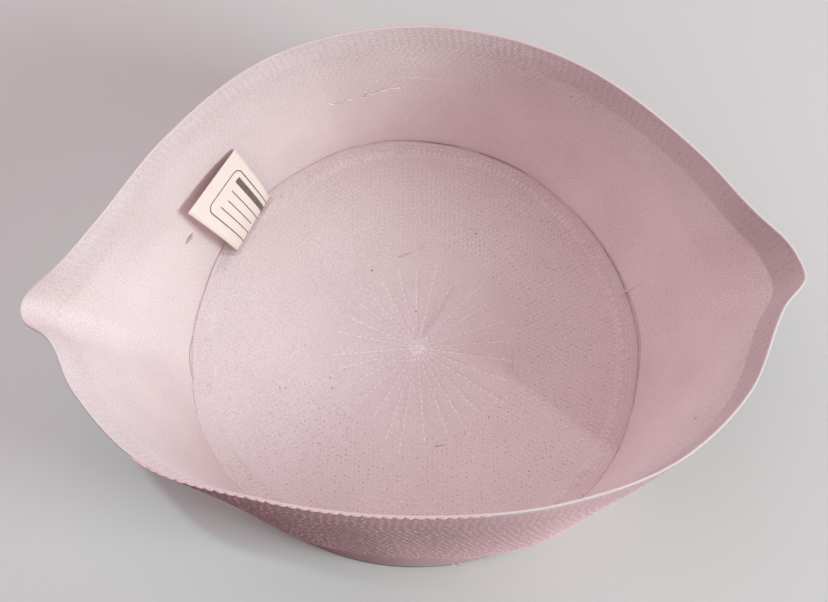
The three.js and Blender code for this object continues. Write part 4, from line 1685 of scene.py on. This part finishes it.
class CAP_OT_band_stitches(bpy.types.Operator):
    """Make the band's rows of stitches, inside and outside, and the stitches over its rim"""

    bl_idname = "cap.band_stitches"
    bl_label = "Band Stitches"

    STITCH = 1.55 * MM
    WIDTH = 0.8
    FAINT_ROW = 9
    WANDER = 0.8 * MM
    LIFT = 0.03 * MM
    TILT = 8
    LENGTHS = (0.85, 1.1)
    WIDTHS = (0.85, 1.15)
    SIDES = 5
    RINGS = 3

    # How a face is sewn: the end of its piece's name and its side, how the stitches stray along their row and
    # slant in degrees, their share of the full size, and the share of it that is left in the last row.
    Sewn = namedtuple("Sewn", "name side stray slant length width faint")
    INSIDE = Sewn("inside", -1.0, 0.09, 7, 1.0, 1.0, 0.45)
    OUTSIDE = Sewn("outside", 1.0, 0.14, 8, 0.95, 0.86, 0.8)

    RIM_COUNT = 204
    RIM_STITCH = 2.8 * MM
    RIM_WIDTH = 0.75 * MM
    RIM_DROP = 0.2 * MM
    RIM_SINK = 0.2 * MM
    RIM_FROM = 222
    RIM_TO = 282
    RIM_STRAY = 0.04
    RIM_LENGTHS = (0.9, 1.1)
    RIM_WIDTHS = (0.85, 1.1)

    def execute(self, context):
        self.wall = Wall()
        self.relief = BandRelief(self.wall)
        rows = stitching()
        self.sew(self.INSIDE, rows.band_rows, thread_material())
        self.sew(self.OUTSIDE, rows.band_rows + rows.band_more, outside_thread_material())
        beads = self.rim(np.random.default_rng(SEED))
        add_piece("rim_beads", stitch_mesh("rim_beads", [beads]), outside_thread_material())
        return {"FINISHED"}

    def sew(self, sewn, count, thread):
        """All the rows of stitches on one face."""
        name = "band_stitches_" + sewn.name
        random = np.random.default_rng(SEED)
        fields = [self.row(random, row, count, sewn) for row in range(count)]
        mesh = stitch_mesh(name, fields, self.SIDES, self.RINGS)
        add_piece(name, mesh, thread)

    def row(self, random, row, row_count, sewn):
        """One row of stitches round the band, finer further down from the rim."""
        rows = stitching()
        count = rows.band_count
        step = rows.band_drift * row - rows.band_return * min(row, rows.band_turn)
        turn = (np.arange(count) + step + random.normal(0, sewn.stray, count)) / count
        deg = self.wall.deg_at(turn)
        wander = random.normal(0, sewn.stray * self.WANDER, count)
        along = sizes().slant - (rows.band_first + rows.band_pitch * row + wander)
        face = self.relief.face(along, sewn.side)
        outward = self.relief.out(deg, along, face) + sewn.side * self.LIFT
        centre, around, up, out = self.wall.frames(deg, along, outward)
        tilt = np.radians(random.normal(self.TILT, sewn.slant, count))[:, None]
        run = around * np.cos(tilt) + up * np.sin(tilt)
        share = max(0, row - self.FAINT_ROW) / (row_count - self.FAINT_ROW)
        strength = 1 - (1 - sewn.faint) * share
        length = sewn.length * self.STITCH * strength * random.uniform(*self.LENGTHS, count)
        width = sewn.width * self.WIDTH * rows.thread_width * strength * random.uniform(*self.WIDTHS, count)
        return Stitches(centre, run, sewn.side * out, length, width)

    def rim(self, random):
        """Stitches that pull small bumps along the folded rim."""
        size = sizes()
        count = self.RIM_COUNT
        deg = self.wall.deg_at((np.arange(count) + random.normal(0, self.RIM_STRAY, count)) / count)
        deg = deg[(deg > self.RIM_FROM) & (deg < self.RIM_TO)]
        count = len(deg)
        along = np.full(count, size.slant - self.RIM_DROP)
        outward = np.full(count, size.band_cloth / 2 - self.RIM_SINK)
        centre, around, _, out = self.wall.frames(deg, along, outward)
        length = self.RIM_STITCH * random.uniform(*self.RIM_LENGTHS, count)
        width = self.RIM_WIDTH * random.uniform(*self.RIM_WIDTHS, count)
        return Stitches(centre, around, out, length, width)


class CAP_OT_overcast_thread(bpy.types.Operator):
    """Make the zigzag thread over the seam's edge and the straight seam stitches beside it"""

    bl_idname = "cap.overcast_thread"
    bl_label = "Overcast Thread"

    UNITS = 240
    INNER = 60.4 * MM
    OUTER = 62.8 * MM
    THREAD = 0.12 * MM
    LIFT = 0.6
    LEAN = 0.2
    WIDTHS = (0.7, 1.12)
    SINKS = (-0.5, 1.0)
    LOW_WAY = 0.2

    # Straight seam lines beside the loops: radius, distance from stitch to stitch and length of a stitch.
    Line = namedtuple("Line", "radius period stitch")
    LINES = (Line(63.5 * MM, 2.6 * MM, 2.0 * MM), Line(64.6 * MM, 1.35 * MM, 0.75 * MM))
    LINE_STRAY = 0.05
    LINE_WANDER = 0.06 * MM
    LINE_LIFT = 0.02 * MM
    LINE_SLANT = 3
    LINE_WIDTH = 0.75
    LINE_LENGTHS = (0.85, 1.1)
    LINE_WIDTHS = (0.8, 1.1)

    # One loop over the edge: share of the unit passed, and share of the way from the inner to the outer line.
    Step = namedtuple("Step", "passed way")
    LOOP = (
        Step(0.0, 0.0), Step(0.1, 0.5), Step(0.2, 0.98), Step(0.36, 1.02), Step(0.43, 0.55), Step(0.54, 0.08),
        Step(0.78, -0.04),
    )

    def execute(self, context):
        random = np.random.default_rng(SEED)
        mesh = thread_mesh("overcast_thread", [self.loops(random)], self.THREAD, closed=True)
        add_piece("overcast_thread", mesh, ring_thread_material())
        fields = [self.line(random, line) for line in self.LINES]
        mesh = stitch_mesh("seam_stitches", fields)
        add_piece("seam_stitches", mesh, ring_thread_material())
        return {"FINISHED"}

    def loops(self, random):
        """Thread that loops over the edge all round, each time a little differently."""
        points = []
        for k in range(self.UNITS):
            lean = random.normal(0, self.LEAN)
            width = random.uniform(*self.WIDTHS)
            sink = random.uniform(*self.SINKS) * self.THREAD
            for step in self.LOOP:
                deg = (k + step.passed + lean * step.way) * 360 / self.UNITS
                ring = self.INNER + (self.OUTER - self.INNER) * step.way * width
                lift = self.LIFT * self.THREAD - sink * (step.way < self.LOW_WAY)
                points.append(edge_points(deg, ring, lift))
        return np.array(points)

    def line(self, random, line):
        """Stitches of one straight seam line."""
        count = round(math.tau * line.radius / line.period)
        deg = (np.arange(count) + random.normal(0, self.LINE_STRAY, count)) * 360 / count
        ring = line.radius + random.normal(0, self.LINE_WANDER, count)
        centre = edge_points(deg, ring, self.LINE_LIFT)
        run = polar(deg + 90 + random.normal(0, self.LINE_SLANT, count), 1.0, 0.0)
        face = np.tile((0.0, 0.0, 1.0), (count, 1))
        length = line.stitch * random.uniform(*self.LINE_LENGTHS, count)
        width = self.LINE_WIDTH * stitching().thread_width * random.uniform(*self.LINE_WIDTHS, count)
        return Stitches(centre, run, face, length, width)


# Partial rows of thread that show on the wall inside: from and to in degrees, height along the cloth and how
# far they fall, in millimetres.
ThreadRow = namedtuple("ThreadRow", "from_deg to_deg along fall")
THREAD_ROWS = (ThreadRow(90, 109, 36.4, 1.2), ThreadRow(90, 104, 31.2, 0.2))

# Lint on the crown: angle and reach of its middle, heading, length and width, in degrees and millimetres,
# and its tone.
Fleck = namedtuple("Fleck", "deg reach heading length width tone")
CROWN_FLECKS = (
    Fleck(96.2, 27.5, 20, 5.2, 0.75, "soft"),
    Fleck(86.5, 29.6, 62, 1.7, 0.6, "soft"),
    Fleck(88.0, 9.4, 85, 0.7, 0.3, "dark"),
    Fleck(204.0, 22.4, 30, 0.6, 0.3, "faint"),
    Fleck(-78.0, 33.0, 10, 3.6, 0.3, "faint"),
    Fleck(-131.0, 42.0, -30, 1.6, 0.3, "faint"),
    Fleck(119.6, 25.8, 55, 0.9, 0.35, "dark"),
    Fleck(-154.4, 27.3, -70, 1.1, 0.34, "faint"),
    Fleck(-148.0, 28.2, -68, 1.4, 0.28, "faint"),
    Fleck(-159.1, 41.8, 108, 1.3, 0.42, "faint"),
    Fleck(-158.3, 40.3, 95, 0.9, 0.42, "faint"),
    Fleck(-48.1, 31.9, 60, 1.2, 0.34, "faint"),
    Fleck(62.1, 38.9, 20, 0.6, 0.55, "dark"),
)

# Lint on the wall inside: angle, height along the cloth, lean, length, width and tone.
WallFleck = namedtuple("WallFleck", "deg along lean length width tone")
WALL_FLECKS = (
    WallFleck(56.6, 45.8, 10, 0.9, 0.4, "faint"),
    WallFleck(332.7, 38.7, 40, 1.4, 0.5, "faint"),
    WallFleck(155.6, 17.3, 6, 3.4, 0.9, "faint"),
)

# Fine dark lines on the wall inside: lines round a small pulled loop by the label, and a double line at the
# left that is painted shade along a fold where cloth meets. Their angles, and heights along the cloth.
WallLine = namedtuple("WallLine", "degs alongs")
DARK_LINES = (
    WallLine((154.0, 155.0, 155.9, 157.1), (17.4, 18.1, 18.4, 17.8)),
    WallLine((154.2, 155.2, 156.1, 157.2), (17.2, 17.9, 18.2, 17.7)),
    WallLine((154.3, 155.2, 156.0, 157.1), (16.6, 16.2, 16.3, 17.4)),
    WallLine((178.8, 181.9, 186.2, 190.9, 193.5), (0.9, 1.8, 2.0, 1.5, 0.9)),
)

# Painted shade along the open seam at the back and the right: where dark lines stand in for its deep shade,
# and where fainter lines stand in for softer shade.
SEAM_DEEP_SHADE_LINES = (
    WallLine((91, 88, 85, 82, 79, 76.5), (1.4, 1.5, 1.6, 1.5, 1.6, 1.4)),
    WallLine((74, 71, 68, 64, 61, 58), (1.4, 1.5, 1.6, 1.5, 1.6, 1.4)),
)
SEAM_SOFT_SHADE_LINES = (
    WallLine((101, 98, 95, 92), (1.4, 1.5, 1.6, 1.4)),
    WallLine((57, 52, 47, 42, 37, 32, 27), (1.4, 1.6, 1.5, 1.4, 1.6, 1.5, 1.4)),
    WallLine((26, 20, 14, 8, 2, -4, -10), (1.4, 1.6, 1.4, 1.5, 1.6, 1.4, 1.5)),
    WallLine((-11, -17, -23, -29, -35), (1.5, 1.6, 1.4, 1.5, 1.4)),
)

# Fine pale threads that lie along the wall inside.
PALE_LINES = (
    WallLine((66, 71, 75, 80, 85, 89, 92), (34.8, 34.7, 34.6, 35.0, 35.4, 36.0, 36.4)),
    WallLine((34, 37, 40, 43, 46), (41.2, 41.3, 41.4, 41.3, 41.2)),
)

# Faint marks drawn on the crown, of which the short one at 60 to 68 degrees is painted shade along a small
# crease: angles, and reaches from the middle.
CrownLine = namedtuple("CrownLine", "degs reaches")
CROWN_LINES = (
    CrownLine((-3.1, -9.0, -15.0, -21.1), (28.4, 28.8, 29.4, 30.2)),
    CrownLine((-33.6, -30.4, -27.5), (49.9, 53.2, 56.6)),
    CrownLine((67.6, 63.8, 60.2), (38.6, 39.9, 41.3)),
)

# Thread end at the seam: its angles and rings on the overcast edge, where it lifts off, and its angles and
# heights along the cloth on the wall.
EDGE_END = CrownLine((10.4, 12.4, 12.9, 12.6, 13.2), (60.2, 60.6, 62.2, 63.8, 64.8))
LIFTED_END = CrownLine(13.7, 65.2)
WALL_END = WallLine((14.1, 14.4, 14.5), (4.2, 5.2, 6.4))

# Small loop at the band's lower edge in front: angle, height along the cloth, and how far it stands out.
LoopPoint = namedtuple("LoopPoint", "deg along out")
FOOT_LOOP = (
    LoopPoint(278.6, 3.2, -0.1), LoopPoint(278.7, 2.4, 0.2), LoopPoint(279.2, 1.6, 0.7),
    LoopPoint(280.0, 1.4, 0.9), LoopPoint(280.6, 1.9, 0.6), LoopPoint(280.5, 2.7, 0.3),
    LoopPoint(280.2, 3.4, -0.1),
)

# Curled thread ends by the partial rows: angle, height along the cloth and length.
Tuft = namedtuple("Tuft", "deg along reach")
TUFTS = (
    Tuft(98.6, 29.8, 5.0),
    Tuft(96.2, 30.8, 6.0),
    Tuft(101.5, 29.2, 3.2),
    Tuft(108.2, 28.3, 4.0),
    Tuft(106.3, 28.1, 3.0),
)


class CAP_OT_thread_ends(bpy.types.Operator):
    """Make the loose thread ends, the partial rows of thread, the lint and the faint marks, and the dark lines
    painted as shade along the seam and a fold
    """

    bl_idname = "cap.thread_ends"
    bl_label = "Thread Ends"

    THREAD = 0.16 * MM
    FINE_THREAD = 0.1 * MM
    PALE_THREAD = 0.06 * MM
    SEAM_DEEP_SHADE = 0.2 * MM
    SEAM_SOFT_SHADE = 0.26 * MM
    MARK = 0.04 * MM
    LINE_LIFT = 0.02 * MM
    FLECK_LIFT = 0.05 * MM
    EDGE_LIFT = 0.2 * MM
    OVER_LIFT = 0.5 * MM
    WALL_LIFT = 0.1 * MM
    TUFT_POINTS = 7
    TUFT_STRAY = 0.25
    TUFT_WANDER = 0.12
    CURL = 0.8
    CURLS = (1, 2.4)
    TUFT_LOW = 0.05 * MM
    TUFT_HIGH = 0.3 * MM
    ROW_PERIOD = 1.6 * MM
    ROW_STITCH = 1.2 * MM
    ROW_STRAY = 0.08
    ROW_WANDER = 0.06
    ROW_MISSING = 0.22
    ROW_WIDTH = 0.75
    ROW_LENGTHS = (0.7, 1.2)
    ROW_WIDTHS = (0.8, 1.1)

    def execute(self, context):
        size = sizes()
        self.wall = Wall()
        self.relief = BandRelief(self.wall)
        self.inner = -size.band_cloth / 2
        self.level = size.crown_lift + size.crown_cloth
        self.crown = CrownRelief()
        random = np.random.default_rng(SEED)
        loose = loose_thread_material()
        faint = fleck_material("Faint Lint", colours().faint_fleck)
        # A material for the fainter painted shade along the seam and for the soft smears on the crown, and one
        # for the deeper painted shade along the seam.
        soft_shade_and_smear = fleck_material("Seam Fluff", colours().seam_soft_shade_and_smear)
        shade = fleck_material("Seam Lint", colours().seam_shade)
        dark = fleck_material("Dark Lint", colours().fleck)
        self.add_threads("loose_threads", [self.seam_end()] + self.tufts(random), self.THREAD, loose)
        self.add_threads("foot_loop", [self.foot_loop()], self.THREAD, outside_thread_material())
        rows = [self.thread_row(random, row) for row in THREAD_ROWS]
        add_piece("wall_thread_rows", stitch_mesh("wall_thread_rows", rows), loose)
        self.add_threads("fine_threads", self.wall_lines(PALE_LINES), self.PALE_THREAD, loose)
        self.add_flecks("lint_flecks", "dark", dark)
        self.add_flecks("faint_flecks", "faint", faint)
        self.add_flecks("soft_flecks", "soft", soft_shade_and_smear)
        # Painted shade along a fold at the left, and dark lines round a small loop by the label.
        self.add_threads("fold_lines", self.wall_lines(DARK_LINES), self.FINE_THREAD, faint)
        self.add_threads("seam_soft_shade_and_smear", self.wall_lines(SEAM_SOFT_SHADE_LINES), self.SEAM_SOFT_SHADE, soft_shade_and_smear)
        self.add_threads("seam_deep_shade", self.wall_lines(SEAM_DEEP_SHADE_LINES), self.SEAM_DEEP_SHADE, shade)
        marks = [self.on_crown(line.degs, line.reaches, 0.0) for line in CROWN_LINES]
        self.add_threads("crown_marks", marks, self.MARK, faint, "crown_cloth")
        return {"FINISHED"}

    def add_threads(self, name, paths, radius, material, slot="band_cloth"):
        add_piece(name, thread_mesh(name, paths, radius), material)

    def add_flecks(self, name, tone, material):
        fields = [self.crown_flecks(tone), self.wall_flecks(tone)]
        add_piece(name, stitch_mesh(name, [field for field in fields if field]), material)

    def on_wall(self, deg, along, lift):
        """Points on the wall's inner face, or a little off it."""
        deg, along = np.asarray(deg, float), np.asarray(along, float) * MM
        outward = self.relief.out(deg, along, np.full(deg.shape, self.inner))
        return self.wall.points(deg, along, outward - lift)

    def on_crown(self, deg, reach, lift):
        deg, reach = np.asarray(deg, float), np.asarray(reach, float) * MM
        return polar(deg, reach, self.level + self.crown.inside(reach, deg) + lift)

    def wall_lines(self, lines):
        return [self.on_wall(line.degs, line.alongs, self.LINE_LIFT) for line in lines]

    def seam_end(self):
        """A thread end that leaves the overcast edge, crosses the gap and lies on the wall."""
        on_edge = [edge_points(deg, ring * MM, self.EDGE_LIFT) for deg, ring in zip(*EDGE_END)]
        over = edge_points(LIFTED_END.degs, LIFTED_END.reaches * MM, self.OVER_LIFT)
        return np.vstack((on_edge, over, self.on_wall(WALL_END.degs, WALL_END.alongs, self.WALL_LIFT)))

    def foot_loop(self):
        """A small loop of thread that stands out of the band's lower edge in front."""
        deg, along, out = (np.array(column) for column in zip(*FOOT_LOOP))
        return self.wall.points(deg, along * MM, out * MM - self.inner)

    def tufts(self, random):
        """Short curled ends of thread by the partial rows."""
        paths = []
        count = self.TUFT_POINTS
        share = np.linspace(0, 1, count)
        scale = 360 / math.tau / (sizes().foot_radius / MM)
        for tuft in TUFTS:
            degs = tuft.deg + scale * (tuft.reach * (share - 0.5) + random.normal(0, self.TUFT_STRAY, count))
            curl = self.CURL * np.sin(share * math.pi * random.uniform(*self.CURLS))
            alongs = tuft.along + curl + random.normal(0, self.TUFT_WANDER, count)
            lift = self.TUFT_LOW + self.TUFT_HIGH * np.sin(share * math.pi)
            paths.append(self.on_wall(degs, alongs, lift))
        return paths

    def thread_row(self, random, row):
        """A broken row of stitches along the wall."""
        span = math.radians(row.to_deg - row.from_deg) * sizes().foot_radius
        count = int(span / self.ROW_PERIOD)
        share = (np.arange(count) + random.normal(0, self.ROW_STRAY, count)) / count
        share = share[random.uniform(0, 1, count) > self.ROW_MISSING]
        deg = row.from_deg + (row.to_deg - row.from_deg) * share
        wander = random.normal(0, self.ROW_WANDER, len(share))
        along = (row.along - row.fall * share * share + wander) * MM
        outward = self.relief.out(deg, along, np.full(len(deg), self.inner)) - self.LINE_LIFT
        centre, around, _, out = self.wall.frames(deg, along, outward)
        length = self.ROW_STITCH * random.uniform(*self.ROW_LENGTHS, len(share))
        width = self.ROW_WIDTH * stitching().thread_width * random.uniform(*self.ROW_WIDTHS, len(share))
        return Stitches(centre, around, -out, length, width)

    def crown_flecks(self, tone):
        flecks = [fleck[:-1] for fleck in CROWN_FLECKS if fleck.tone == tone]
        deg, reach, heading, length, width = (np.array(column, float) for column in zip(*flecks))
        face = np.tile((0.0, 0.0, 1.0), (len(deg), 1))
        centre = self.on_crown(deg, reach, self.FLECK_LIFT)
        return Stitches(centre, polar(heading, 1.0, 0.0), face, length * MM, width * MM)

    def wall_flecks(self, tone):
        flecks = [fleck[:-1] for fleck in WALL_FLECKS if fleck.tone == tone]
        if not flecks:
            return None
        deg, along, lean, length, width = (np.array(column, float) for column in zip(*flecks))
        lean = np.radians(lean)[:, None]
        outward = self.relief.out(deg, along * MM, np.full(len(deg), self.inner))
        centre, around, up, out = self.wall.frames(deg, along * MM, outward)
        run = around * np.cos(lean) + up * np.sin(lean)
        return Stitches(centre, run, -out, length * MM, width * MM)


STEPS = (
    CAP_OT_stage,
    CAP_OT_crown,
    CAP_OT_side_band,
    CAP_OT_seam_allowance,
    CAP_OT_label,
    CAP_OT_crown_stitches,
    CAP_OT_band_stitches,
    CAP_OT_overcast_thread,
    CAP_OT_thread_ends,
)


class CAP_PT_steps(bpy.types.Panel):
    """The steps that make the cap"""

    bl_label = "Prayer Cap"
    bl_space_type = "VIEW_3D"
    bl_region_type = "UI"
    bl_category = "Cap"

    def draw(self, context):
        for step in STEPS:
            self.layout.operator(step.bl_idname)


SETTINGS = (
    ("cap_sizes", CapSizes),
    ("cap_stitching", CapStitching),
    ("cap_colours", CapColours),
    ("cap_studio", CapStudio),
)


def register():
    for name, group in SETTINGS:
        bpy.utils.register_class(group)
        setattr(bpy.types.Scene, name, PointerProperty(type=group))
    for step in STEPS:
        bpy.utils.register_class(step)
    bpy.utils.register_class(CAP_PT_steps)


def unregister():
    bpy.utils.unregister_class(CAP_PT_steps)
    for step in reversed(STEPS):
        bpy.utils.unregister_class(step)
    for name, group in reversed(SETTINGS):
        delattr(bpy.types.Scene, name)
        bpy.utils.unregister_class(group)


def main():
    register()
    bpy.ops.cap.stage()
    bpy.ops.cap.crown()
    bpy.ops.cap.side_band()
    bpy.ops.cap.seam_allowance()
    bpy.ops.cap.label()
    bpy.ops.cap.crown_stitches()
    bpy.ops.cap.band_stitches()
    bpy.ops.cap.overcast_thread()
    bpy.ops.cap.thread_ends()


if __name__ == "__main__":
    main()
